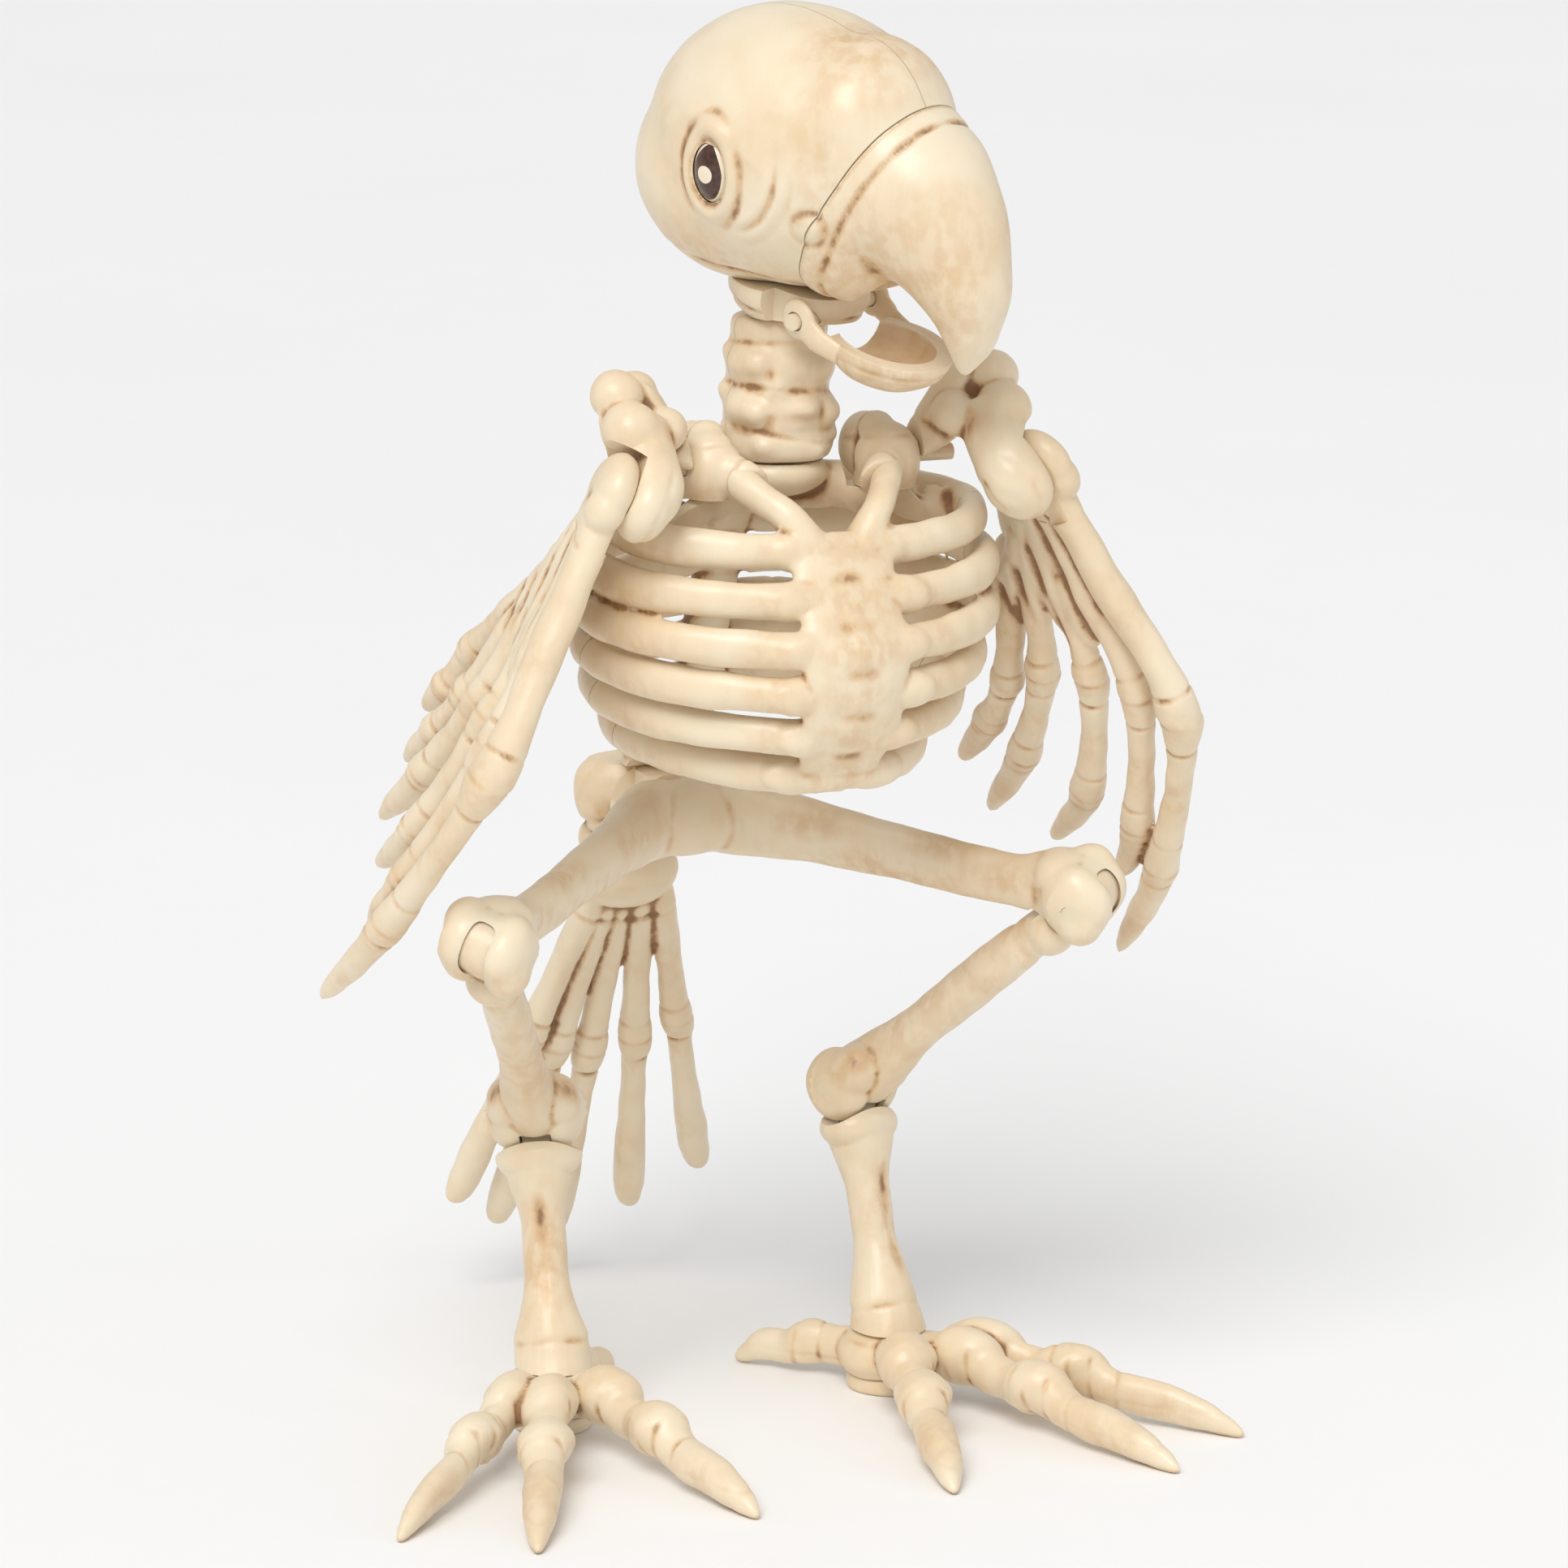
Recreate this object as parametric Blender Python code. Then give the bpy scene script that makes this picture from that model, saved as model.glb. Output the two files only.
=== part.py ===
"""Posable plastic parrot skeleton: every bone is its own moulding, hinged on plain pins.

Bird faces -Y, +X is its left, +Z is up, feet on z = 0. Working unit is the millimetre.
"""
import bpy
import bmesh
import math
from mathutils import Matrix, Vector

# ---------------------------------------------------------------- driving sizes (mm)
GAP = 0.30                 # clearance between neighbouring mouldings
PIN_R = 1.6                # hinge pin radius
PIN_FIT = 0.25             # radial clearance of a pin in its bore

FOOT_X = 35.5              # half the stance width
FOOT_Y = -26.0             # foot centre, measured from the hip
SOLE_Z = 12.0              # top of the foot block
TARSUS_LEN = 49.0
TIBIA_LEN = 71.0
BONE_R = 5.4               # femur shaft radius
TIBIA_R = 4.6
TARSUS_R = 3.9
TOE_LEN = (68.0, 76.0, 75.0)          # inner, middle, outer
TOE_TURN = (-13.0, 23.0, 43.0)        # degrees outward from straight ahead
HIND_LEN = 33.0
TOE_R = 4.2

RIBS = 6
RIB_PITCH = 8.4
RIB_TALL = 3.6             # half height of one rib
RIB_THICK = 2.6            # half thickness of one rib
RIB_HALF = (35.0, 38.0, 38.5, 37.0, 33.5, 27.5)
RIB_FRONT = (20.0, 27.0, 33.5, 37.0, 38.0, 37.0)
RIB_BACK = (30.0, 32.0, 33.0, 33.0, 32.0, 29.0)
RIB_MID_Y = (-56.0, -54.0, -51.5, -48.0, -44.0, -39.5)
CHEST_Z = 68.0             # first rib above the hip
STERNUM_W = 7.6            # half width

NECK_LEN = 27.0
NECK_R = 10.8
SHOULDER = (19.0, -57.0, 79.0)        # from the hip
ELBOW = (42.5, -71.0, 78.0)
FEATHER_R = 3.0
# each wing is posed on its own: fan spread direction and hanging direction
WING_POSE = {'left': ((-0.350, 0.934, -0.069), (0.445, 0.101, -0.890)),
             'right': ((-0.233, 0.969, 0.075), (0.388, 0.163, -0.907))}

SKULL = (24.5, 31.0, 26.0)            # half width, half length, half height
HEAD_YAW = 25.0
HEAD_PITCH = 9.0
HEAD_ROLL = -7.0

TAIL_LEN = 98.0
TAIL_R = 3.1

# ---------------------------------------------------------------- skeleton points
V = Vector
tarsus_dir = V((-2.0, 15.0, 47.0)).normalized()
tibia_dir = V((27.5, -46.0, 46.6)).normalized()
foot_top = V((FOOT_X, FOOT_Y, SOLE_Z))
ankle = foot_top + tarsus_dir * TARSUS_LEN
knee = ankle + tibia_dir * TIBIA_LEN
HIP_Z = knee.z + 9.0
hip = V((0.0, 0.0, HIP_Z))
hip_axle = hip + V((0.0, 5.0, 0.0))
neck_foot = hip + V((0.0, -46.8, CHEST_Z + 10.0))
neck_top = neck_foot + V((0.0, 0.0, NECK_LEN))
shoulder = hip + V(SHOULDER)
elbow = hip + V(ELBOW)
knee_axis = (knee - hip).cross(ankle - knee).normalized()
ankle_axis = -((ankle - knee).cross(foot_top - ankle)).normalized()
HEAD = (Matrix.Translation(neck_top) @ Matrix.Rotation(math.radians(HEAD_YAW), 4, 'Z')
        @ Matrix.Rotation(math.radians(HEAD_PITCH), 4, 'X')
        @ Matrix.Rotation(math.radians(HEAD_ROLL), 4, 'Y'))

made = []
for ob in list(bpy.data.objects):
    bpy.data.objects.remove(ob)


# ---------------------------------------------------------------- mesh helpers
def from_bm(name, bm):
    mesh = bpy.data.meshes.new(name)
    bmesh.ops.triangulate(bm, faces=bm.faces[:])
    bmesh.ops.recalc_face_normals(bm, faces=bm.faces[:])
    bm.to_mesh(mesh)
    bm.free()
    ob = bpy.data.objects.new(name, mesh)
    bpy.context.scene.collection.objects.link(ob)
    return ob


def bake(ob):
    graph = bpy.context.evaluated_depsgraph_get()
    mesh = bpy.data.meshes.new_from_object(ob.evaluated_get(graph))
    ob.modifiers.clear()
    old = ob.data
    ob.data = mesh
    bpy.data.meshes.remove(old)
    return ob


def frame(z_dir, x_hint=V((1, 0, 0))):
    z = V(z_dir).normalized()
    x = V(x_hint) - z * z.dot(x_hint)
    if x.length < 1e-3:
        x = V((0, 1, 0)) - z * z.y
    x.normalize()
    y = z.cross(x)
    return Matrix((x, y, z)).transposed().to_4x4()


def ball(bm, at, radii, turn=None, n=12):
    m = Matrix.Translation(V(at)) @ (turn or Matrix()) @ Matrix.Diagonal((*radii, 1))
    bmesh.ops.create_uvsphere(bm, u_segments=n, v_segments=max(6, n * 2 // 3), radius=1.0, matrix=m)


def tube(bm, path, radii, flat=1.0, n=10, hint=V((1, 0, 0))):
    """Closed tube through points; flat scales it along hint."""
    pts = [V(p) for p in path]
    rings = []
    for i, p in enumerate(pts):
        t = (pts[min(i + 1, len(pts) - 1)] - pts[max(i - 1, 0)]).normalized()
        m = frame(t, hint)
        ring = []
        for k in range(n):
            a = 2 * math.pi * k / n
            ring.append(bm.verts.new(p + m.to_3x3() @ V((math.cos(a) * radii[i] * flat, math.sin(a) * radii[i], 0))))
        rings.append(ring)
    for a, b in zip(rings, rings[1:]):
        for k in range(n):
            bm.faces.new((a[k], a[(k + 1) % n], b[(k + 1) % n], b[k]))
    bm.faces.new(list(reversed(rings[0])))
    bm.faces.new(rings[-1])


def curve(points, steps=4):
    """Smooth path through the points."""
    p = [V(q) for q in points]
    p = [p[0] * 2 - p[1]] + p + [p[-1] * 2 - p[-2]]
    out = []
    for i in range(1, len(p) - 2):
        for s in range(steps):
            t = s / steps
            a, b, c, d = p[i - 1], p[i], p[i + 1], p[i + 2]
            out.append(0.5 * ((2 * b) + (c - a) * t + (2 * a - 5 * b + 4 * c - d) * t * t + (3 * b - a - 3 * c + d) * t ** 3))
    out.append(p[-2])
    return out


def lerp_list(values, count):
    out = []
    for i in range(count):
        t = i / (count - 1) * (len(values) - 1)
        k = min(int(t), len(values) - 2)
        out.append(values[k] + (values[k + 1] - values[k]) * (t - k))
    return out


def bone(bm, points, radii, steps=4, **kw):
    path = curve(points, steps)
    tube(bm, path, lerp_list(radii, len(path)), **kw)


def moulding(name, bm, faces, voxel=0.9):
    """Fuse overlapping solids into one closed skin with about the given number of faces."""
    ob = from_bm(name, bm)
    m = ob.modifiers.new('fuse', 'REMESH')
    m.mode, m.voxel_size = 'VOXEL', voxel
    bake(ob)
    ob.data.calc_loop_triangles()
    m = ob.modifiers.new('lighten', 'DECIMATE')
    m.ratio = min(1.0, faces / max(1, len(ob.data.loop_triangles)))
    m.use_collapse_triangulate = True
    bake(ob)
    return ob


def solid_box(name, at, half, turn=None):
    bm = bmesh.new()
    m = Matrix.Translation(V(at)) @ (turn or Matrix()) @ Matrix.Diagonal((*[2 * h for h in half], 1))
    bmesh.ops.create_cube(bm, size=1.0, matrix=m)
    return from_bm(name, bm)


def solid_disc(name, at, axis, radius, half, n=16):
    bm = bmesh.new()
    m = Matrix.Translation(V(at)) @ frame(axis)
    bmesh.ops.create_cone(bm, cap_ends=True, segments=n, radius1=radius, radius2=radius, depth=2 * half, matrix=m)
    return from_bm(name, bm)


def boolean(ob, tool, op='DIFFERENCE'):
    m = ob.modifiers.new('cut', 'BOOLEAN')
    m.operation, m.solver, m.object = op, 'EXACT', tool
    bake(ob)
    bpy.data.objects.remove(tool)
    return ob


def largest(ob):
    """Keep the biggest connected body; slivers left by a cut are dropped."""
    bm = bmesh.new()
    bm.from_mesh(ob.data)
    bmesh.ops.remove_doubles(bm, verts=bm.verts[:], dist=1e-4)
    left, best = set(bm.verts), []
    while left:
        stack, group = [left.pop()], []
        while stack:
            v = stack.pop()
            group.append(v)
            for e in v.link_edges:
                w = e.other_vert(v)
                if w in left:
                    left.remove(w)
                    stack.append(w)
        if len(group) > len(best):
            best = group
    keep = set(best)
    bmesh.ops.delete(bm, geom=[v for v in bm.verts if v not in keep], context='VERTS')
    bm.to_mesh(ob.data)
    bm.free()
    return ob


def keep_side(ob, at, normal):
    """Cut flat: keep the side the normal points to."""
    n = V(normal).normalized()
    return boolean(ob, solid_box('tool', V(at) - n * 200, (200, 200, 200), frame(n)))


def bore(ob, at, axis, half=40.0, radius=PIN_R + PIN_FIT):
    return boolean(ob, solid_disc('tool', at, axis, radius, half, 12))


def pin(name, at, axis, half, radius=PIN_R):
    return done(solid_disc(name, at, axis, radius, half, 12))


def slot(ob, at, axis, directions, radius, half, wide, length=26.0):
    """Pocket for a swinging tongue: a disc plus the lanes its neck sweeps."""
    boolean(ob, solid_disc('tool', at, axis, radius, half, 18))
    for d in directions:
        d = V(d).normalized()
        turn = frame(axis, d)
        boolean(ob, solid_box('tool', V(at) + d * length * 0.5, (length * 0.5, wide, half - 0.004 * (1 + directions.index(d) if d in directions else 1)), turn))
    return ob


def done(ob):
    made.append(ob)
    return ob


def side(p, s):
    return V((p[0] * s, p[1], p[2]))


def mirrored(ob, name):
    twin = ob.copy()
    twin.data = ob.data.copy()
    twin.name = name
    bpy.context.scene.collection.objects.link(twin)
    bm = bmesh.new()
    bm.from_mesh(twin.data)
    for v in bm.verts:
        v.co.x = -v.co.x
    bmesh.ops.reverse_faces(bm, faces=bm.faces[:])
    bm.to_mesh(twin.data)
    bm.free()
    return done(twin)


def pair(ob, stem):
    ob.name = stem + '_left'
    done(ob)
    mirrored(ob, stem + '_right')


def about(axis, degrees, v):
    return Matrix.Rotation(math.radians(degrees), 3, V(axis)) @ V(v)


# ---------------------------------------------------------------- rib cage
def ring_point(k, a):
    """Point of rib k at angle a (0 = breast, 180 = spine)."""
    c, s = math.cos(a), math.sin(a)
    depth = RIB_FRONT[k] if c > 0 else RIB_BACK[k]
    y = RIB_MID_Y[k] - depth * c
    z = CHEST_Z - RIB_PITCH * k - 2.5 * c
    return hip + V((RIB_HALF[k] * s, y, z))


def rib_arc(bm, k, a0, a1, count):
    path = [ring_point(k, math.radians(a0 + (a1 - a0) * i / count)) for i in range(count + 1)]
    tube(bm, path, [RIB_THICK] * len(path), flat=RIB_TALL / RIB_THICK, n=8, hint=V((0, 0, 1)))


split_at, split_n = hip + V((0, -49.5, CHEST_Z - RIB_PITCH * 2.5)), V((0, 0.93, 0.37))

bm = bmesh.new()
for k in range(RIBS):
    rib_arc(bm, k, -100, 100, 14)
front = [ring_point(k, 0) for k in range(RIBS)]
tube(bm, [front[0] + V((0, 2, 2))] + front + [front[-1] + V((0, 3, -4))],
     [5.5, STERNUM_W, STERNUM_W, STERNUM_W, STERNUM_W, 6.5, 5.0, 2.5], flat=0.42, n=10, hint=V((0, 1, 0)))
for s in (1, -1):
    bone(bm, [hip + V((s * 20, -52, 77.5)), hip + V((s * 14, -62, 73)), hip + V((s * 6, -71, 68.5)), front[0] + V((0, 2.5, 0))],
         [3.3, 2.9, 2.9, 3.0], steps=3, n=8)
ribcage_front = moulding('ribcage_front', bm, 1050)
keep_side(ribcage_front, split_at - split_n * GAP * 0.5, -split_n)
boolean(ribcage_front, solid_box('tool', hip + V((0, -52, CHEST_Z + 20.2)), (60, 9, 10.0)))
done(largest(ribcage_front))

bm = bmesh.new()
for k in range(RIBS):
    rib_arc(bm, k, 80, 280, 14)
back = [ring_point(k, math.pi) for k in range(RIBS)]
spine = [back[0] + V((0, -3, 3))] + back + [hip + V((0, 0, 14))]
tube(bm, spine, [4.5, 4.6, 4.6, 4.6, 4.6, 4.6, 4.6, 5.0], n=8)
for p in back:
    ball(bm, p + V((0, 3.2, 0)), (5.6, 5.2, 3.4), n=10)
bone(bm, [back[0], hip + V((0, -38, 72)), hip + V((0, -46.8, 75))], [5.0, 6.5, 8.0], steps=3, n=10)
ball(bm, hip + V((0, -46.8, 75.5)), (9.5, 9.5, 5.0), n=12)
for s in (1, -1):
    bone(bm, [hip + V((0, -44, 72.0)), hip + V((s * 12, -50, 72.5)), hip + V((s * 19, -55, 70.0)), ring_point(0, math.radians(s * 95))],
         [4.5, 4.6, 5.2, 3.4], steps=3, n=8)
ribcage_back = moulding('ribcage_back', bm, 1150)
keep_side(ribcage_back, split_at + split_n * GAP * 0.5, split_n)
keep_side(ribcage_back, neck_foot - V((0, 0, GAP)), (0, 0, -1))
for s in (1, -1):
    boolean(ribcage_back, solid_box('tool', hip + V((s * 22.5, -52, CHEST_Z + 5.0 + 10)), (11.5, 18, 10)))
keep_side(ribcage_back, hip + V((0, 0, 19.0)), (0, 0, 1))
done(largest(ribcage_back))

# shoulder blocks stand on the flat pads of the back shell
pad_z = CHEST_Z + 5.0 + GAP
bm = bmesh.new()
ball(bm, shoulder + V((-1.0, 0, -1.0)), (6.4, 7.0, 8.0), n=12)
ball(bm, shoulder + V((-1.5, 9.0, 0.5)), (5.2, 5.5, 6.5), n=10)
coracoid = moulding('coracoid', bm, 150)
keep_side(coracoid, hip + V((0, 0, pad_z)), (0, 0, 1))
keep_side(coracoid, shoulder + V((4.0, 0, 0)), (-1, 0, 0))
bore(coracoid, shoulder, (1, 0, 0))
pair(largest(coracoid), 'coracoid')
boolean(ribcage_front, solid_box('tool', shoulder + V((-0.5, 2.0, 5.0)), (7.6, 12.5, 11.0)))
boolean(ribcage_front, solid_box('tool', side(shoulder, -1) + V((0.5, 2.0, 5.0)), (7.6, 12.5, 11.0)))
largest(ribcage_front)

# ---------------------------------------------------------------- neck
bm = bmesh.new()
bumps = ((0.0, 0.90), (0.03, 0.97), (0.15, 0.97), (0.19, 0.84), (0.24, 0.96), (0.33, 1.0), (0.44, 0.96), (0.50, 0.80),
         (0.56, 0.93), (0.66, 0.98), (0.76, 0.93), (0.82, 0.78), (0.87, 0.90), (0.96, 0.90), (1.0, 0.84))
tube(bm, [neck_foot + V((0, 0, t * NECK_LEN)) for t, r in bumps], [NECK_R * r for t, r in bumps], n=14)
neck = from_bm('neck', bm)
bore(neck, neck_top, (0, 0, 1), half=11.0, radius=4.3)
neck_back = neck.copy()
neck_back.data = neck.data.copy()
bpy.context.scene.collection.objects.link(neck_back)
neck.name, neck_back.name = 'neck_front', 'neck_back'
keep_side(neck, neck_foot - V((0, GAP * 0.5, 0)), (0, -1, 0))
keep_side(neck_back, neck_foot + V((0, GAP * 0.5, 0)), (0, 1, 0))
done(largest(neck))
done(largest(neck_back))

# ---------------------------------------------------------------- lower back, pelvis, tail
bm = bmesh.new()
for i, (y, z) in enumerate(((0.5, 15.5), (6.0, 9.5))):
    ball(bm, hip + V((0, y + 6.0, z + 1.5)), (9.2 - i, 6.6, 3.9), n=12)
bone(bm, [hip + V((0, 1, 22)), hip + V((0, 9, 14)), hip + V((0, 15, 4))], [5.0, 6.0, 6.0], steps=3, n=10)
lumbar = moulding('lumbar_spine', bm, 170)
keep_side(lumbar, hip + V((0, 0, 19.0 - GAP)), (0, 0, -1))
keep_side(lumbar, hip + V((0, 0, 6.0 + GAP)), (0, 0, 1))
boolean(lumbar, solid_disc('tool', hip_axle, (1, 0, 0), 9.8, 30, 18))
done(largest(lumbar))

bm = bmesh.new()
ball(bm, hip + V((0, 21, -1)), (13.0, 9.5, 11.0), n=14)
ball(bm, hip + V((0, 25, -11)), (10.5, 7.5, 8.0), n=12)
bone(bm, [hip_axle, hip + V((0, 18, 0))], [6.0, 6.6], steps=2, n=12)
pelvis = moulding('pelvis', bm, 260)
for s in (1, -1):
    boolean(pelvis, solid_box('tool', hip_axle + V((s * (3.6 + 15), -5.0, 0)), (15, 13.8, 30)))
keep_side(pelvis, hip + V((0, 0, 6.0)), (0, 0, -1))
keep_side(pelvis, hip + V((0, 0, -15.0)), (0, 0, 1))
bore(pelvis, hip_axle, (1, 0, 0))
done(largest(pelvis))

tail_root = hip + V((0, 26, -16))
bm = bmesh.new()
ball(bm, tail_root + V((0, 0.5, -2.5)), (11.0, 6.0, 7.5), n=12)
tail_dir = V((0, 0.405, -0.914)).normalized()
for i, (spread, length) in enumerate(((-13, 0.90), (-7, 0.96), (0, 1.0), (8, 0.95), (16, 0.88))):
    d = V((math.sin(math.radians(spread)), tail_dir.y * math.cos(math.radians(spread)), tail_dir.z * math.cos(math.radians(spread))))
    root = tail_root + V((spread * 0.42, 2.0 - 0.10 * abs(spread), -4))
    L = (TAIL_LEN - 6.0) * length
    tube(bm, [root + d * (L * t) for t in (0, 0.42, 0.49, 0.55, 0.85, 0.96, 1.0)],
         [TAIL_R * q for q in (0.9, 0.95, 1.15, 0.8, 1.1, 0.85, 0.35)], n=8)
tail = moulding('tail_fan', bm, 560)
keep_side(tail, hip + V((0, 0, -15.0 - GAP)), (0, 0, -1))
done(largest(tail))

# ---------------------------------------------------------------- thighs: one V-shaped moulding
knee_shaft = (knee - hip).normalized()
tibia_in = (ankle - knee).normalized()
bm = bmesh.new()
tube(bm, [hip_axle + V((x, 0, 0)) for x in (-12.0, -10.5, 10.5, 12.0)], [6.2, 8.2, 8.2, 6.2], n=16, hint=V((0, 0, 1)))
ball(bm, hip + V((0, -5, -0.5)), (15.0, 8.0, 7.6), n=14)
for s in (1, -1):
    k = side(knee, s)
    a = side(knee_axis, s)
    bone(bm, [hip + V((s * 7, -5, 0)), hip.lerp(k, 0.38) + V((0, 0, 1.0)), hip.lerp(k, 0.7), k - side(knee_shaft, s) * 13, k],
         [7.2, BONE_R, BONE_R, 4.7, 6.5], steps=3, n=12, hint=a)
    tube(bm, [k + a * t for t in (-8.2, -6.8, 6.8, 8.2)], [6.0, 8.0, 8.0, 6.0], n=16, hint=V((0, 0, 1)))
yoke = moulding('femur_yoke', bm, 560)
boolean(yoke, solid_box('tool', hip_axle + V((0, 10 - 6.6, 0)), (3.6 + GAP, 10, 30)))
bore(yoke, hip_axle, (1, 0, 0))
for s in (1, -1):
    k, a = side(knee, s), side(knee_axis, s)
    slot(yoke, k, a, [side(about(knee_axis, q, tibia_in), s) for q in (4, -8, -22)], 6.6, 3.0 + GAP, 4.2)
    bore(yoke, k, a, half=12)
done(largest(yoke))
pin('hip_pin', hip_axle, (1, 0, 0), 11.6)

# ---------------------------------------------------------------- shins
ankle_up = (knee - ankle).normalized()
tarsus_in = (foot_top - ankle).normalized()
bm = bmesh.new()
bone(bm, [knee + tibia_in * 2, knee + tibia_in * 11, knee.lerp(ankle, 0.36), knee.lerp(ankle, 0.70), ankle - tibia_in * 6, ankle + tibia_in * 2],
     [3.2, 3.5, TIBIA_R, TIBIA_R, 7.4, 7.6], steps=3, n=12, hint=knee_axis)
tube(bm, [ankle + ankle_axis * t for t in (-8.4, -7.2, 7.2, 8.4)], [6.4, 8.0, 8.0, 6.4], n=16)
tibia = moulding('tibia', bm, 260)
boolean(tibia, solid_disc('tool', knee, knee_axis, 9.4, 30, 18))
boolean(tibia, solid_disc('tongue', knee, knee_axis, 6.0, 3.0, 16), 'UNION')
boolean(tibia, solid_box('neck', knee + tibia_in * 6.5, (5.0, 2.9, 2.96), frame(knee_axis, tibia_in)), 'UNION')
bore(tibia, knee, knee_axis, half=12)
slot(tibia, ankle, ankle_axis, [about(ankle_axis, q, tarsus_in) for q in (-16, 0, 16)], 6.2, 2.8 + GAP, 3.9)
bore(tibia, ankle, ankle_axis, half=12)
tibia = largest(tibia)
pair(tibia, 'tibia')
for s, tag in ((1, 'left'), (-1, 'right')):
    pin('knee_pin_' + tag, side(knee, s), side(knee_axis, s), 8.4)
    pin('ankle_pin_' + tag, side(ankle, s), side(ankle_axis, s), 8.6)

# ---------------------------------------------------------------- shanks and feet
bm = bmesh.new()
bone(bm, [ankle + tarsus_in * 10.0, ankle + tarsus_in * 13, ankle + tarsus_in * 21, ankle + tarsus_in * 31, foot_top - tarsus_in * 6, foot_top + tarsus_in * 3],
     [7.2, 6.4, TARSUS_R, TARSUS_R, 6.6, 7.6], steps=3, n=12)
tarsus = moulding('tarsus', bm, 200)
boolean(tarsus, solid_disc('tool', ankle, ankle_axis, 9.5, 30, 18))
boolean(tarsus, solid_disc('tongue', ankle, ankle_axis, 5.7, 2.8, 16), 'UNION')
boolean(tarsus, solid_box('neck', ankle + tarsus_in * 7.0, (6.0, 2.7, 2.76), frame(ankle_axis, tarsus_in)), 'UNION')
bore(tarsus, ankle, ankle_axis, half=12)
keep_side(tarsus, foot_top + V((0, 0, GAP)), (0, 0, 1))
pair(largest(tarsus), 'tarsus')

foot_c = V((FOOT_X, FOOT_Y, 0.0))
PAD_TOP = 3.4


def toe(bm, d, length, start):
    reach = [0.0, 0.15, 0.27, 0.33, 0.45, 0.52, 0.58, 0.70, 0.76, 0.87, 0.96, 1.0]
    rise = [7.5, 8.4, 10.0, 9.8, 8.2, 8.6, 7.2, 5.4, 5.4, 4.0, 1.7, 0.8]
    fat = [1.2, 0.95, 1.22, 1.0, 0.84, 1.12, 0.88, 0.80, 0.98, 0.72, 0.42, 0.18]
    tube(bm, [foot_c + d * (length * r) + V((0, 0, z)) for r, z in zip(reach[start:], rise[start:])],
         [TOE_R * f for f in fat[start:]], n=8)


bm = bmesh.new()
ball(bm, foot_c + V((0, 0, 8.0)), (9.4, 9.4, 5.2), n=14)
for length, turn in zip(TOE_LEN, TOE_TURN):
    toe(bm, V((math.sin(math.radians(turn)), -math.cos(math.radians(turn)), 0)), length, 0)
hind = V((-0.66, 0.75, 0)).normalized()
tube(bm, [foot_c + hind * (HIND_LEN * r) + V((0, 0, z)) for r, z in
          ((0, 7.0), (0.34, 6.8), (0.5, 6.6), (0.64, 5.0), (0.8, 4.6), (0.93, 2.2), (1.0, 0.9))],
     [TOE_R * f for f in (1.2, 0.95, 1.12, 0.82, 0.8, 0.46, 0.16)], n=8)
foot = moulding('foot', bm, 640, voxel=0.8)
boolean(foot, solid_box('tool', foot_c + V((0, 0, SOLE_Z + 8.0)), (9.8, 9.8, 8.0)))
keep_side(foot, V((0, 0, 0.15)), (0, 0, 1))
boolean(foot, solid_disc('tool', foot_c, (0, 0, 1), 9.6, PAD_TOP + GAP, 20))
pair(largest(foot), 'foot_upper')
for s, tag in ((1, 'left'), (-1, 'right')):
    done(solid_disc('foot_sole_' + tag, side(foot_c + V((0, 0, PAD_TOP * 0.5)), s), (0, 0, 1), 9.0, PAD_TOP * 0.5, 20))

# ---------------------------------------------------------------- wings
hum0 = shoulder + V((4.0 + GAP, 0, 0))
FEATHERS = (
    ((0, 0), (-6, 28), (-10.8, 56), (11, 93.5), (33.6, 118)),
    ((3, 6), (1, 30), (-1.5, 52), (13, 84), (24, 98)),
    ((6, 8), (9, 30), (9, 49), (23, 77), (39, 91)),
    ((9, 12), (16, 32), (22, 49), (37, 70), (54, 86)),
    ((12, 16), (24, 36), (33, 52), (43, 63), (56, 74)),
    ((14, 20), (30, 34), (43.5, 46), (51, 56), (60, 64)))
FAT = [1.0, 1.0, 0.95, 0.95, 1.05, 1.0, 0.92, 1.02, 1.25, 0.95, 0.88, 1.0, 1.22, 0.95, 0.9, 0.7, 0.34]


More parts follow.
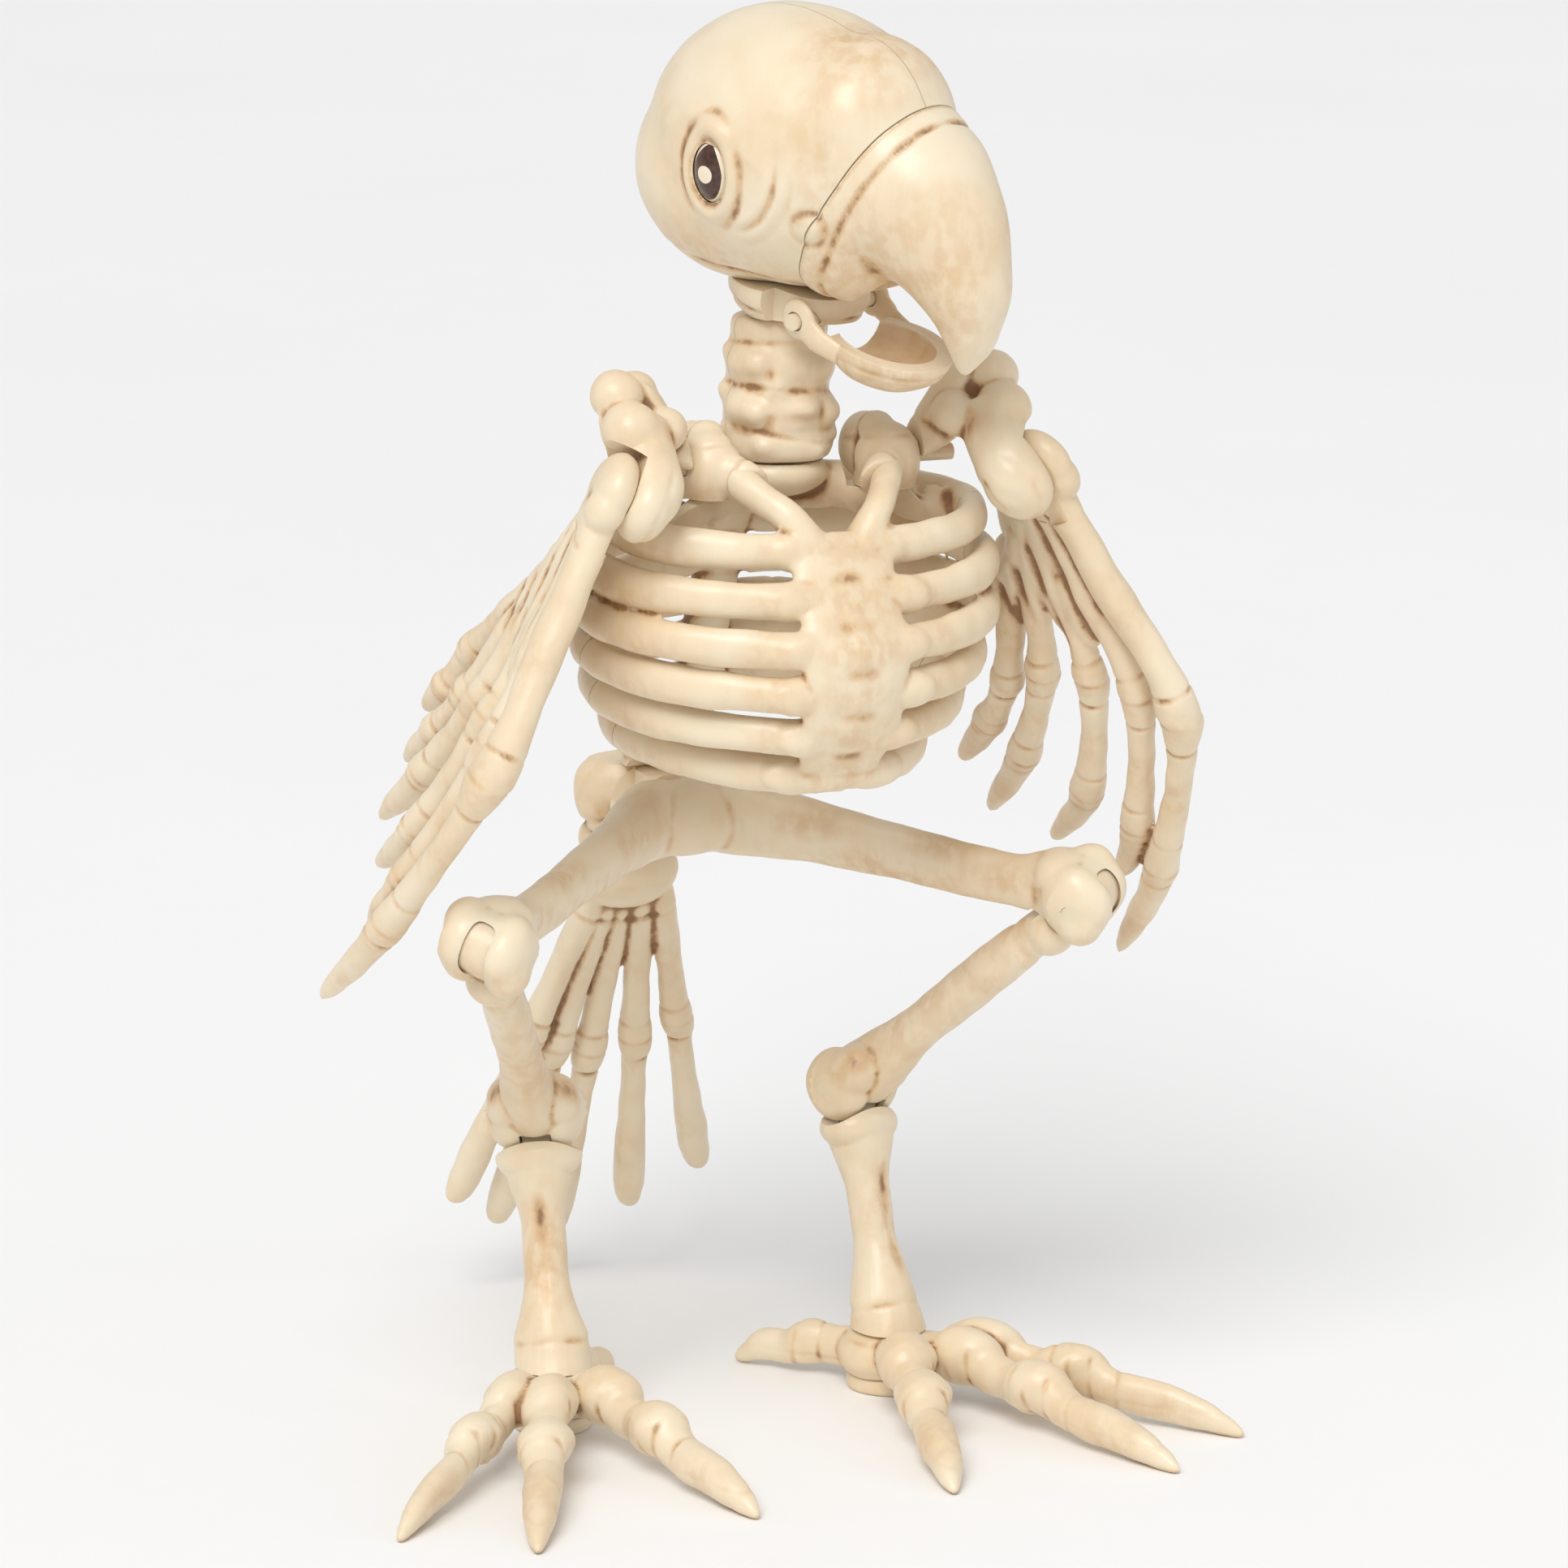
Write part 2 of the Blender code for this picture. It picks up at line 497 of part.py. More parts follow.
def wing(tag, s):
    """Build one wing on the left side, then mirror it when s is -1."""
    ws, wd = (V(v).normalized() for v in WING_POSE[tag])
    wd = (wd - ws * wd.dot(ws)).normalized()
    wn = -(ws.cross(wd)).normalized()
    boss = elbow - wn * (2.4 + GAP)
    bm = bmesh.new()
    bone(bm, [hum0 - V((2, 0, 0)), hum0 + V((3, 0, 3)), hum0 + V((8, -1, 10)), hum0 + V((13, -5, 11))], [5.2, 5.2, 5.6, 6.2], steps=3, n=10)
    for at, r in (((9.0, 2, 14), 4.4), ((14.5, -3, 14.5), 5.0), ((6.0, -5, 8), 4.6), ((14.0, -9, 9.0), 5.6)):
        ball(bm, hum0 + V(at), (r, r, r * 0.95), n=10)
    bone(bm, [hum0 + V((12, -6, 9)), boss - wn * 5.0 + V((0, 1, 3)), boss - wn * 2.5], [6.0, 6.4, 6.6], steps=3, n=12)
    tube(bm, [boss + wn * t for t in (-6.0, -5.0, 2.0)], [5.6, 7.0, 7.0], n=14)
    humerus = moulding('humerus_' + tag, bm, 300)
    keep_side(humerus, hum0, (1, 0, 0))
    boolean(humerus, solid_disc('tool', boss + wn * 8.0, wn, 10.6, 8.0, 18))
    bore(humerus, shoulder, (1, 0, 0), half=13.0)
    bore(humerus, elbow, wn, half=8.0)
    largest(humerus)

    bm = bmesh.new()
    tube(bm, [elbow + wn * t for t in (-2.4, 2.6, 3.8)], [8.0, 8.0, 6.4], n=18)
    for i, f in enumerate(FEATHERS):
        path = curve([elbow + ws * p + wd * q for p, q in f], 4)
        grow = 1.3 if i == 0 else 1.0
        tube(bm, path, [FEATHER_R * q * (grow if j < 9 else 1.0) for j, q in enumerate(FAT)], n=8, hint=wn)
    for p, q, rs, rd in ((8, 16, 9, 12), (14, 25, 9, 9), (6, 32, 7, 10)):
        ball(bm, elbow + ws * p + wd * q, (rs, rd, 2.4), Matrix((ws, wd, wn)).transposed().to_4x4(), n=12)
    fan = moulding('wing_fan_' + tag, bm, 850, voxel=0.8)
    boolean(fan, solid_disc('tool', elbow - wn * 12.4, wn, 11.5, 10.0, 20))
    bore(fan, elbow, wn, half=8.0)
    largest(fan)
    parts = [humerus, fan, solid_disc('shoulder_pin_' + tag, shoulder + V((4.5, 0, 0)), (1, 0, 0), PIN_R, 7.5, 12),
             solid_disc('elbow_pin_' + tag, elbow - wn * 1.6, wn, PIN_R, 4.6, 12)]
    for ob in parts:
        if s < 0:
            bm = bmesh.new()
            bm.from_mesh(ob.data)
            for v in bm.verts:
                v.co.x = -v.co.x
            bmesh.ops.reverse_faces(bm, faces=bm.faces[:])
            bm.to_mesh(ob.data)
            bm.free()
        done(ob)
    return side(wn, s)


wing_axis = {1: wing('left', 1), -1: wing('right', -1)}


# ---------------------------------------------------------------- head
def head_pt(p):
    return HEAD @ V(p)


def head_dir(d):
    return HEAD.to_3x3() @ V(d)


def muzzle(bm):
    """Front of the face: the beak sheath carries the same skin on past the seam."""
    w, l, h = SKULL
    ball(bm, (0, -18, 13 + h), (w * 0.76, 17.0, h * 0.76), n=16)
    ball(bm, (0, -20, 6 + h * 0.6), (w * 0.66, 12.5, h * 0.5), n=14)


def skull_mass():
    bm = bmesh.new()
    w, l, h = SKULL
    ball(bm, (0, -3, 8 + h), (w, l, h), n=18)
    ball(bm, (0, 6, 6 + h * 0.82), (w * 0.93, l * 0.80, h * 0.82), n=16)
    muzzle(bm)
    for s in (1, -1):
        ball(bm, (s * 19.2, -3.5, 42), (5.0, 9.5, 3.6), n=10)
        ball(bm, (s * 18.6, 0, 24), (4.6, 9.0, 3.2), n=10)
    return bm


eye_at = V((22.4, -2.5, 33.5))
face_at, face_n = V((0, -25.0, 32.5)), V((0, 0.90, 0.43))     # seam between skull and beak sheath
bm = skull_mass()
for v in bm.verts:
    v.co = HEAD @ v.co
skull = moulding('skull', bm, 620)
keep_side(skull, head_pt((0, 0, 9.0)), head_dir((0, 0, 1)))
keep_side(skull, head_pt(face_at), head_dir(face_n))
for s in (1, -1):
    bm = bmesh.new()
    ball(bm, V((eye_at.x * s, eye_at.y, eye_at.z)), (5.2, 6.6, 5.6), n=10)
    for v in bm.verts:
        v.co = HEAD @ v.co
    boolean(skull, from_bm('tool', bm))
bm = bmesh.new()
ball(bm, (0, -2.5, 8 + SKULL[2]), (15.0, 22.0, 20.0), n=14)
for v in bm.verts:
    v.co = HEAD @ v.co
for s, tag in ((1, 'left'), (-1, 'right')):
    half = skull.copy()
    half.data = skull.data.copy()
    half.name = 'skull_' + tag
    bpy.context.scene.collection.objects.link(half)
    keep_side(half, head_pt((s * GAP * 0.5, 0, 0)), head_dir((s, 0, 0)))
    boolean(half, from_bm('tool', bm.copy()))
    done(largest(half))
    eb = bmesh.new()
    ball(eb, V((eye_at.x * s, eye_at.y, eye_at.z)), (5.2 - GAP, 6.6 - GAP, 5.6 - GAP), n=10)
    for v in eb.verts:
        v.co = HEAD @ v.co
    done(from_bm('eye_' + tag, eb))
bpy.data.objects.remove(skull)

jaw_at = V((0, -14.0, 5.0))
bm = bmesh.new()
ball(bm, (0, -3, 7.0), (12.5, 12.0, 8.0), n=14)
ball(bm, (0, -11, 7.0), (8.8, 8.5, 6.5), n=12)
for v in bm.verts:
    v.co = HEAD @ v.co
base = moulding('skull_base', bm, 200)
keep_side(base, head_pt((0, 0, 9.0 - GAP)), head_dir((0, 0, -1)))
keep_side(base, neck_top + V((0, 0, GAP)), (0, 0, 1))
for s in (1, -1):
    boolean(base, solid_box('tool', head_pt((s * 18.5, -14.0, 5.0)), (10.0, 8.0, 20.0), HEAD.to_3x3().to_4x4()))
boolean(base, solid_disc('tool', neck_top, (0, 0, 1), 4.3, 6.0, 20))
bore(base, head_pt(jaw_at), head_dir((1, 0, 0)), half=30)
done(largest(base))
done(solid_disc('neck_peg', neck_top - V((0, 0, 2.5)), (0, 0, 1), 4.0, 8.0, 20))

bm = bmesh.new()
beak = [(0, -22, 30), (0, -31, 31), (0, -38.5, 26), (0, -44.5, 17.5), (0, -46.5, 9), (0, -45.5, 0.5)]
bone(bm, beak, [18.5, 17.0, 13.5, 9.6, 5.8, 1.6], steps=3, n=14, flat=0.92)
muzzle(bm)
for v in bm.verts:
    v.co = HEAD @ v.co
upper = moulding('upper_beak', bm, 380)
keep_side(upper, head_pt(face_at - face_n * GAP), head_dir(-face_n))
bm = bmesh.new()
ball(bm, (0, -31, 5.0), (10.0, 12.5, 13.0), n=14)
for v in bm.verts:
    v.co = HEAD @ v.co
boolean(upper, from_bm('tool', bm))
done(largest(upper))

bm = bmesh.new()
ball(bm, (0, -27.5, 1.6), (10.4, 13.2, 8.0), n=16)
for v in bm.verts:
    v.co = HEAD @ v.co
jaw = moulding('mandible', bm, 240, voxel=0.7)
bm = bmesh.new()
ball(bm, (0, -27.5, 5.2), (8.2, 11.0, 8.6), n=16)
for v in bm.verts:
    v.co = HEAD @ v.co
boolean(jaw, from_bm('tool', bm))
keep_side(jaw, head_pt((0, -27.5, 2.2)), head_dir((0, 0.12, -1)))
for s in (1, -1):
    boolean(jaw, solid_disc('lug', head_pt((s * 10.2, jaw_at.y, jaw_at.z)), head_dir((1, 0, 0)), 3.9, 1.3, 20), 'UNION')
    boolean(jaw, solid_box('arm', head_pt((s * 10.15, -17.5, 2.4)), (1.2, 4.2, 3.0), HEAD.to_3x3().to_4x4()), 'UNION')
boolean(jaw, solid_box('tool', head_pt((0, -11.0, 8)), (8.5 + GAP, 9.0, 30), HEAD.to_3x3().to_4x4()))
bore(jaw, head_pt(jaw_at), head_dir((1, 0, 0)), half=30)
done(largest(jaw))
pin('jaw_pin', head_pt(jaw_at), head_dir((1, 0, 0)), 12.2)

# ---------------------------------------------------------------- hand over in metres, centred on the footprint
lo = [min((ob.matrix_world @ v.co)[i] for ob in made for v in ob.data.vertices) for i in range(3)]
hi = [max((ob.matrix_world @ v.co)[i] for ob in made for v in ob.data.vertices) for i in range(3)]
shift = Matrix.Scale(0.001, 4) @ Matrix.Translation((-(lo[0] + hi[0]) / 2, -(lo[1] + hi[1]) / 2, -lo[2]))

ivory = {'base': (0.86, 0.76, 0.60, 1.0), 'rough': 0.36}
eye_paint = {'base': (0.10, 0.04, 0.02, 1.0), 'rough': 0.30}
pivots = {'neck': neck_top, 'jaw': head_pt(jaw_at), 'hip': hip_axle}
for s, tag in ((1, 'left'), (-1, 'right')):
    pivots.update({n + '_' + tag: side(p, s) for n, p in
                   (('shoulder', shoulder), ('elbow', elbow), ('knee', knee), ('ankle', ankle))})
BODIES = {
    'neck': ('skull_left', 'skull_right', 'skull_base', 'upper_beak', 'eye_left', 'eye_right', 'jaw_pin', 'neck_peg'),
    'jaw': ('mandible',), 'hip': ('femur_yoke', 'knee_pin_left', 'knee_pin_right')}
for tag in ('left', 'right'):
    BODIES['shoulder_' + tag] = ('humerus_' + tag, 'shoulder_pin_' + tag, 'elbow_pin_' + tag)
    BODIES['elbow_' + tag] = ('wing_fan_' + tag,)
    BODIES['knee_' + tag] = ('tibia_' + tag, 'ankle_pin_' + tag)
    BODIES['ankle_' + tag] = ('tarsus_' + tag, 'foot_upper_' + tag, 'foot_sole_' + tag)
carried = {node: joint for joint, nodes in BODIES.items() for node in nodes}

for ob in made:
    look = eye_paint if ob.name.startswith('eye') else ivory
    mat = bpy.data.materials.new(ob.name)
    mat.use_nodes = True
    shader = mat.node_tree.nodes['Principled BSDF']
    shader.inputs['Base Color'].default_value = look['base']
    shader.inputs['Roughness'].default_value = look['rough']
    shader.inputs['Metallic'].default_value = 0.0
    ob.data.materials.clear()
    ob.data.materials.append(mat)
    ob.data.transform(shift)
    origin = shift @ V(pivots[carried[ob.name]] if ob.name in carried else hip)
    ob.data.transform(Matrix.Translation(-origin))
    ob.location = origin
    ob.data.shade_smooth()
    ob.data.set_sharp_from_angle(angle=math.radians(40))
keep = set(made)
for ob in list(bpy.data.objects):
    if ob not in keep:
        bpy.data.objects.remove(ob)


def told(label, at, axis):
    p = shift @ V(at)
    print('JOINT', label, *[round(c, 6) for c in p], *[round(c, 6) for c in V(axis).normalized()])


told('neck', neck_top, (0, 0, 1))
told('jaw', head_pt(jaw_at), head_dir((1, 0, 0)))
told('hip', hip_axle, (1, 0, 0))
for s, tag in ((1, 'left'), (-1, 'right')):
    told('shoulder_' + tag, side(shoulder, s), (1, 0, 0))
    told('elbow_' + tag, side(elbow, s), wing_axis[s])
    told('knee_' + tag, side(knee, s), side(knee_axis, s))
    told('ankle_' + tag, side(ankle, s), side(ankle_axis, s))
    told('sole_' + tag, side(V((FOOT_X, FOOT_Y, 0)), s), (0, 0, -1))
told('ribcage', hip + V((0, -48, 47)), (0, 0, 1))
told('mouth', head_pt((0, -29, 6.5)), (0, 0, 1))
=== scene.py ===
# %% [markdown]
# A posable bird skeleton in moulded ivory plastic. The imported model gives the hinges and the
# rest positions. Here every bone is made again from the same skeleton points, but finely:
# rough solids are fused into one skin, the skin is carved with creases, knuckles and seams,
# and then it is cut where the real mouldings part.

# %% Load the frame
import bpy
import bmesh
import math
import numpy as np
from mathutils import Matrix, Vector


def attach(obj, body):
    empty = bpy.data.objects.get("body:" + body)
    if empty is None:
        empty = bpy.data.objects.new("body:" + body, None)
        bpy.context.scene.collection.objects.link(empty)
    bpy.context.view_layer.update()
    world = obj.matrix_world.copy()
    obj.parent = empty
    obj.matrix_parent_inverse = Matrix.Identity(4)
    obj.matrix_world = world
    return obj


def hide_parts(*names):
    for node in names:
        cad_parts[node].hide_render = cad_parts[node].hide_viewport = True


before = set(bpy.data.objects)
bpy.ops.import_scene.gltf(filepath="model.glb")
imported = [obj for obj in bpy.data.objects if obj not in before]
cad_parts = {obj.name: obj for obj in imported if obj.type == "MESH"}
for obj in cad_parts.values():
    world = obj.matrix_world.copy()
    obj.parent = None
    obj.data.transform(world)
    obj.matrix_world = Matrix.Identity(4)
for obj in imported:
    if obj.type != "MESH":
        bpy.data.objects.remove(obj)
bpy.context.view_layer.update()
V = Vector

# %% [markdown]
# The skeleton is worked in millimetres, with the bird facing -Y and its left on +X.
# PLACE carries finished bones to the frame, which is in metres and centred on the footprint.

# %% Driving sizes
PLACE = Matrix.Scale(0.001, 4) @ Matrix.Translation((0, 16.763, 0))
GAP, PIN_R, PIN_FIT = 0.30, 1.6, 0.25
FOOT_X, FOOT_Y, SOLE_Z, PAD_R, PAD_TALL = 35.5, -26.0, 12.0, 8.0, 3.4
TARSUS_LEN, TIBIA_LEN = 49.0, 71.0
BONE_R, TIBIA_R, TARSUS_R, TOE_R = 5.4, 4.6, 3.9, 4.2
TOE_LEN, TOE_TURN, HIND_LEN = (68.0, 76.0, 75.0), (-13.0, 23.0, 43.0), 33.0
RIBS, RIB_PITCH, RIB_TALL, RIB_THICK = 6, 8.4, 3.6, 2.6
RIB_HALF = (35.0, 38.0, 38.5, 37.0, 33.5, 27.5)
RIB_FRONT = (20.0, 27.0, 33.5, 37.0, 38.0, 37.0)
RIB_BACK = (30.0, 32.0, 33.0, 33.0, 32.0, 29.0)
RIB_MID_Y = (-56.0, -54.0, -51.5, -48.0, -44.0, -39.5)
CHEST_Z = 68.0
NECK_LEN, NECK_R, PEG_HOLE_R = 27.0, 10.8, 4.3
KNEE_TONGUE, ANKLE_TONGUE, ELBOW_HUB = 3.0, 2.8, 2.4  # half thicknesses
SKULL_W, SKULL_L, SKULL_H = 24.5, 31.0, 26.0
FEATHER_R, TAIL_LEN, TAIL_R = 3.0, 98.0, 3.1
WING_POSE = {'left': ((-0.350, 0.934, -0.069), (0.445, 0.101, -0.890)),
             'right': ((-0.233, 0.969, 0.075), (0.388, 0.163, -0.907))}

# %% Skeleton points
tarsus_dir, tibia_dir = V((-2, 15, 47)).normalized(), V((27.5, -46, 46.6)).normalized()
foot_top = V((FOOT_X, FOOT_Y, SOLE_Z))
ankle = foot_top + tarsus_dir * TARSUS_LEN
knee = ankle + tibia_dir * TIBIA_LEN
hip = V((0, 0, knee.z + 9))
hip_axle = hip + V((0, 5, 0))
neck_foot = hip + V((0, -46.8, CHEST_Z + 10))
neck_top = neck_foot + V((0, 0, NECK_LEN))
shoulder, elbow = hip + V((19, -57, 79)), hip + V((42.5, -71, 78))
knee_axis = (knee - hip).cross(ankle - knee).normalized()
ankle_axis = -((ankle - knee).cross(foot_top - ankle)).normalized()
HEAD = (Matrix.Translation(neck_top) @ Matrix.Rotation(math.radians(25), 4, 'Z')
        @ Matrix.Rotation(math.radians(9), 4, 'X') @ Matrix.Rotation(math.radians(-7), 4, 'Y'))

# %% [markdown]
# The finish is one cast plastic the colour of old bone: cream, a little warmer in places,
# rubbed with thin tan mottling, and with brown in every crease. The tan is a stain together with
# painted shade in broad hollows; the brown is a wash together with painted shade in creases.
# The maths of a material reads best as plain expressions, so a small class wraps a socket
# and adds a Math node whenever two values are combined. The bench that holds them makes every
# other node as well, for materials and later for shapes.

# %% A bench for materials
class Num:
    """A number in a material; + - * and their mirror forms add Math nodes."""
    def __init__(self, bench, socket):
        self.bench, self.socket = bench, socket

    def using(self, operation, a, b):
        return self.bench.node('ShaderNodeMath', {'operation': operation}, {0: a, 1: b})

    def __add__(self, other): return self.using('ADD', self, other)
    def __radd__(self, other): return self.using('ADD', other, self)
    def __mul__(self, other): return self.using('MULTIPLY', self, other)
    def __rmul__(self, other): return self.using('MULTIPLY', other, self)
    def __sub__(self, other): return self.using('SUBTRACT', self, other)
    def __rsub__(self, other): return self.using('SUBTRACT', other, self)

    def step(self, low, high):
        """0 below low, 1 above high, smooth between."""
        return self.bench.node('ShaderNodeMapRange', {'interpolation_type': 'SMOOTHSTEP'},
                               {'Value': self, 'From Min': low, 'From Max': high})


class Bench:
    """A node tree, and one way to put any node into it."""
    def __init__(self, tree):
        self.tree = tree

    def node(self, kind, settings=None, sockets=None, out=0):
        made = self.tree.nodes.new(kind)
        for key, value in (settings or {}).items():
            setattr(made, key, value)
        for key, value in (sockets or {}).items():
            self.put(made.inputs[key], value)
        return Num(self, made.outputs[out])

    def put(self, socket, value):
        if isinstance(value, Num):
            self.tree.links.new(value.socket, socket)
        else:
            socket.default_value = value

    def surface(self, **values):
        """Fill sockets of the shader; Base_Color stands for Base Color."""
        for name, value in values.items():
            self.put(self.tree.nodes['Principled BSDF'].inputs[name.replace('_', ' ')], value)

    def blend(self, amount, a, b):
        return self.node('ShaderNodeMix', {'data_type': 'RGBA'}, {0: amount, 6: a, 7: b}, out=2)

    def noise(self, where, scale, detail=3.0):
        return self.node('ShaderNodeTexNoise', {}, {'Vector': where, 'Scale': scale, 'Detail': detail})

    def carried(self, name):
        return self.node('ShaderNodeAttribute', {'attribute_name': name}, {}, out='Fac')


def new_material(name):
    material = bpy.data.materials.new(name)
    material.use_nodes = True
    return material, Bench(material.node_tree)


# %% Aged ivory plastic
CREAM, BEIGE = (0.815, 0.705, 0.525, 1), (0.745, 0.585, 0.38, 1)
TAN, BROWN = (0.62, 0.38, 0.175, 1), (0.21, 0.085, 0.030, 1)


def aged_ivory():
    material, b = new_material('aged_ivory')
    where = b.node('ShaderNodeTexCoord', out='Object')
    drawn = b.node('ShaderNodeMapping', {}, {'Vector': where, 'Scale': (1.0, 1.0, 0.28)})
    broad, mottle = b.noise(where, 42.0), b.noise(where, 330.0, 5.0)
    streak, grain = b.noise(drawn, 520.0, 4.0), b.noise(where, 1900.0, 2.0)
    wash_and_shade, stain_and_shade = b.carried('wash_and_shade'), b.carried('stain_and_shade')
    patch = (0.55 * mottle + 0.45 * streak).step(0.40, 0.60)
    tan = stain_and_shade * (0.25 + 0.75 * patch) + 0.16 * patch * broad.step(0.45, 0.65)
    # warm and brown: tan, then brown, in creases and hollows; a brown wash together with painted shade.
    warm = (wash_and_shade + 0.30 * (mottle - 0.5)).step(0.03, 0.55)
    brown = (wash_and_shade + 0.40 * (patch - 0.5)).step(0.42, 1.15)
    colour = b.blend(0.70 * broad.step(0.36, 0.66), CREAM, BEIGE)
    colour = b.blend(0.75 * tan.using('MINIMUM', tan, 1.0), colour, TAN)
    colour = b.blend(0.62 * warm, colour, TAN)
    colour = b.blend(0.80 * brown, colour, BROWN)
    lumps = b.node('ShaderNodeBump', {}, {'Strength': 0.35, 'Distance': 0.0004,
                                          'Height': 0.7 * mottle + 0.35 * streak + 0.12 * grain})
    b.surface(Base_Color=colour, Roughness=0.30 + 0.16 * mottle + 0.20 * brown, Normal=lumps, Subsurface_Weight=0.10,
              Subsurface_Scale=0.004, Coat_Weight=0.10, Coat_Roughness=0.22, IOR=1.47)
    return material


IVORY = aged_ivory()
print('nodes in the ivory', len(IVORY.node_tree.nodes))


# %% [markdown]
# The eye is a smooth bead with a dark almond painted round a bare iris. Where the paint lies is
# a number on each point of the bead, so the material only has to sharpen its edge.

# %% Painted eye
def eye_paint():
    material, b = new_material('eye_paint')
    where = b.node('ShaderNodeTexCoord', out='Object')
    brushed = b.noise(where, 900.0, 4.0)
    paint = b.carried('paint').step(0.42, 0.58)
    dark = b.blend(brushed.step(0.35, 0.70), (0.035, 0.011, 0.006, 1), (0.085, 0.028, 0.014, 1))
    strokes = b.node('ShaderNodeBump', {}, {'Strength': 0.2, 'Distance': 0.0002, 'Height': brushed})
    b.surface(Base_Color=b.blend(paint, CREAM, dark), Roughness=0.34 - 0.12 * paint + 0.08 * brushed, Normal=strokes,
              Coat_Weight=0.3)
    return material


EYE = eye_paint()
print('nodes in the eye paint', len(EYE.node_tree.nodes))

# %% [markdown]
# Ribs, toes, finger bones and tail bones all follow a path and change in thickness along it.
# Geometry Nodes suit that: the path is a curve whose point radius is the thickness, and one
# tree sweeps a round or flattened section along it. A second tree strings beads on a path,
# which makes the bodies of the vertebrae.

# %% Node trees for swept bones and strung beads
def new_tree(name, inputs, shape):
    """A tree that turns a path into plain mesh; shape adds the nodes in between."""
    tree = bpy.data.node_groups.new(name, 'GeometryNodeTree')
    for label, kind in (('Path', 'Geometry'), *inputs, ('Plastic', 'Material')):
        tree.interface.new_socket(label, in_out='INPUT', socket_type='NodeSocket' + kind)
    tree.interface.new_socket('Bone', in_out='OUTPUT', socket_type='NodeSocketGeometry')
    b = Bench(tree)
    given = {socket.name: Num(b, socket) for socket in tree.nodes.new('NodeGroupInput').outputs if socket.name}
    real = b.node('GeometryNodeRealizeInstances', {}, {0: shape(b, given)})
    dressed = b.node('GeometryNodeSetMaterial', {}, {'Geometry': real, 'Material': given['Plastic']})
    b.put(tree.nodes.new('NodeGroupOutput').inputs[0], dressed)
    print(name, len(tree.nodes), 'nodes')
    return tree


def swept(b, given):
    ring = b.node('GeometryNodeCurvePrimitiveCircle', {}, {'Resolution': given['Sides'], 'Radius': 1.0})
    section = b.node('GeometryNodeTransform', {}, {'Geometry': ring, 'Scale': b.node(
        'ShaderNodeCombineXYZ', {}, {0: given['Flat'], 1: 1.0, 2: 1.0})})
    path = b.node('GeometryNodeSetCurveNormal', {'mode': 'FREE'}, {'Curve': given['Path'],
                                                                   'Normal': given['Flat Along']})
    return b.node('GeometryNodeCurveToMesh', {}, {'Curve': path, 'Profile Curve': section, 'Fill Caps': True,
                                                  'Scale': b.node('GeometryNodeInputRadius')})


def strung(b, given):
    points = b.node('GeometryNodeCurveToPoints', {'mode': 'EVALUATED'}, {'Curve': given['Path']})
    bead = b.node('GeometryNodeMeshUVSphere', {}, {'Segments': 32, 'Rings': 20, 'Radius': 1.0})
    return b.node('GeometryNodeInstanceOnPoints', {}, {'Points': points, 'Instance': bead, 'Scale': given['Bead']})


SWEEP = new_tree('bone_sweep', (('Sides', 'Int'), ('Flat', 'Float'), ('Flat Along', 'Vector')), swept)
BEADS = new_tree('bead_string', (('Bead', 'Vector'),), strung)


# %% Using the trees
def stand(name, data):
    """A new object in the scene."""
    ob = bpy.data.objects.new(name, data)
    bpy.context.scene.collection.objects.link(ob)
    return ob


def finished(ob):
    """The object's mesh with its modifiers applied."""
    return bpy.data.meshes.new_from_object(ob.evaluated_get(bpy.context.evaluated_depsgraph_get()))


def poured(bm, name='tool'):
    """The contents of bm as a mesh with its faces turned outwards."""
    bmesh.ops.recalc_face_normals(bm, faces=bm.faces[:])
    mesh = bpy.data.meshes.new(name)
    bm.to_mesh(mesh)
    bm.free()
    return mesh


def store(mesh, name, values):
    """Keep one number per point for the materials to read."""
    mesh.attributes.new(name, 'FLOAT', 'POINT').data.foreach_set('value', np.asarray(values, np.float32))


def grown(bm, tree, path, radii, settings):
    """Run a tree on a path and add the plain mesh to bm."""
    line = bpy.data.curves.new('path', 'CURVE')
    line.dimensions = '3D'
    spline = line.splines.new('POLY')
    spline.points.add(len(path) - 1)
    for point, at, r in zip(spline.points, path, radii):
        point.co, point.radius = (*at, 1), r
    ob = stand('path', line)
    live = ob.modifiers.new('grow', 'NODES')
    live.node_group = tree
    for item in tree.interface.items_tree:
        if item.in_out == 'INPUT' and item.name in settings:
            live[item.identifier] = settings[item.name]
    mesh = finished(ob)
    bm.from_mesh(mesh)
    bpy.data.objects.remove(ob)
    bpy.data.curves.remove(line)
    bpy.data.meshes.remove(mesh)


def tube(bm, path, radii, flat=1.0, hint=(1, 0, 0), sides=24):
    grown(bm, SWEEP, path, radii, {'Sides': sides, 'Flat': flat, 'Flat Along': V(hint), 'Plastic': IVORY})


def beads(bm, path, size):
    grown(bm, BEADS, path, [1.0] * len(path), {'Bead': V(size), 'Plastic': IVORY})


def curve(points, steps=8):
    """Smooth path through the points."""
    p = [V(q) for q in points]
    p = [p[0] * 2 - p[1]] + p + [p[-1] * 2 - p[-2]]
    out = []
    for i in range(1, len(p) - 2):
        a, b, c, d = p[i - 1:i + 3]
        for k in range(steps):
            t = k / steps
            out.append(0.5 * (2 * b + (c - a) * t + (2 * a - 5 * b + 4 * c - d) * t * t
                              + (3 * b - a - 3 * c + d) * t ** 3))
    return out + [p[-2]]


def spread(values, count):
    """The list of values drawn out smoothly to a longer list."""
    t = np.linspace(0, len(values) - 1, count)
    k = np.minimum(t.astype(int), len(values) - 2)
    f = t - k
    f = 0.5 * f + 0.5 * f * f * (3 - 2 * f)
    v = np.array(values, float)
    return list(v[k] * (1 - f) + v[k + 1] * f)


def bone(bm, points, radii, steps=8, **kw):
    path = curve(points, steps)
    tube(bm, path, spread(radii, len(path)), **kw)


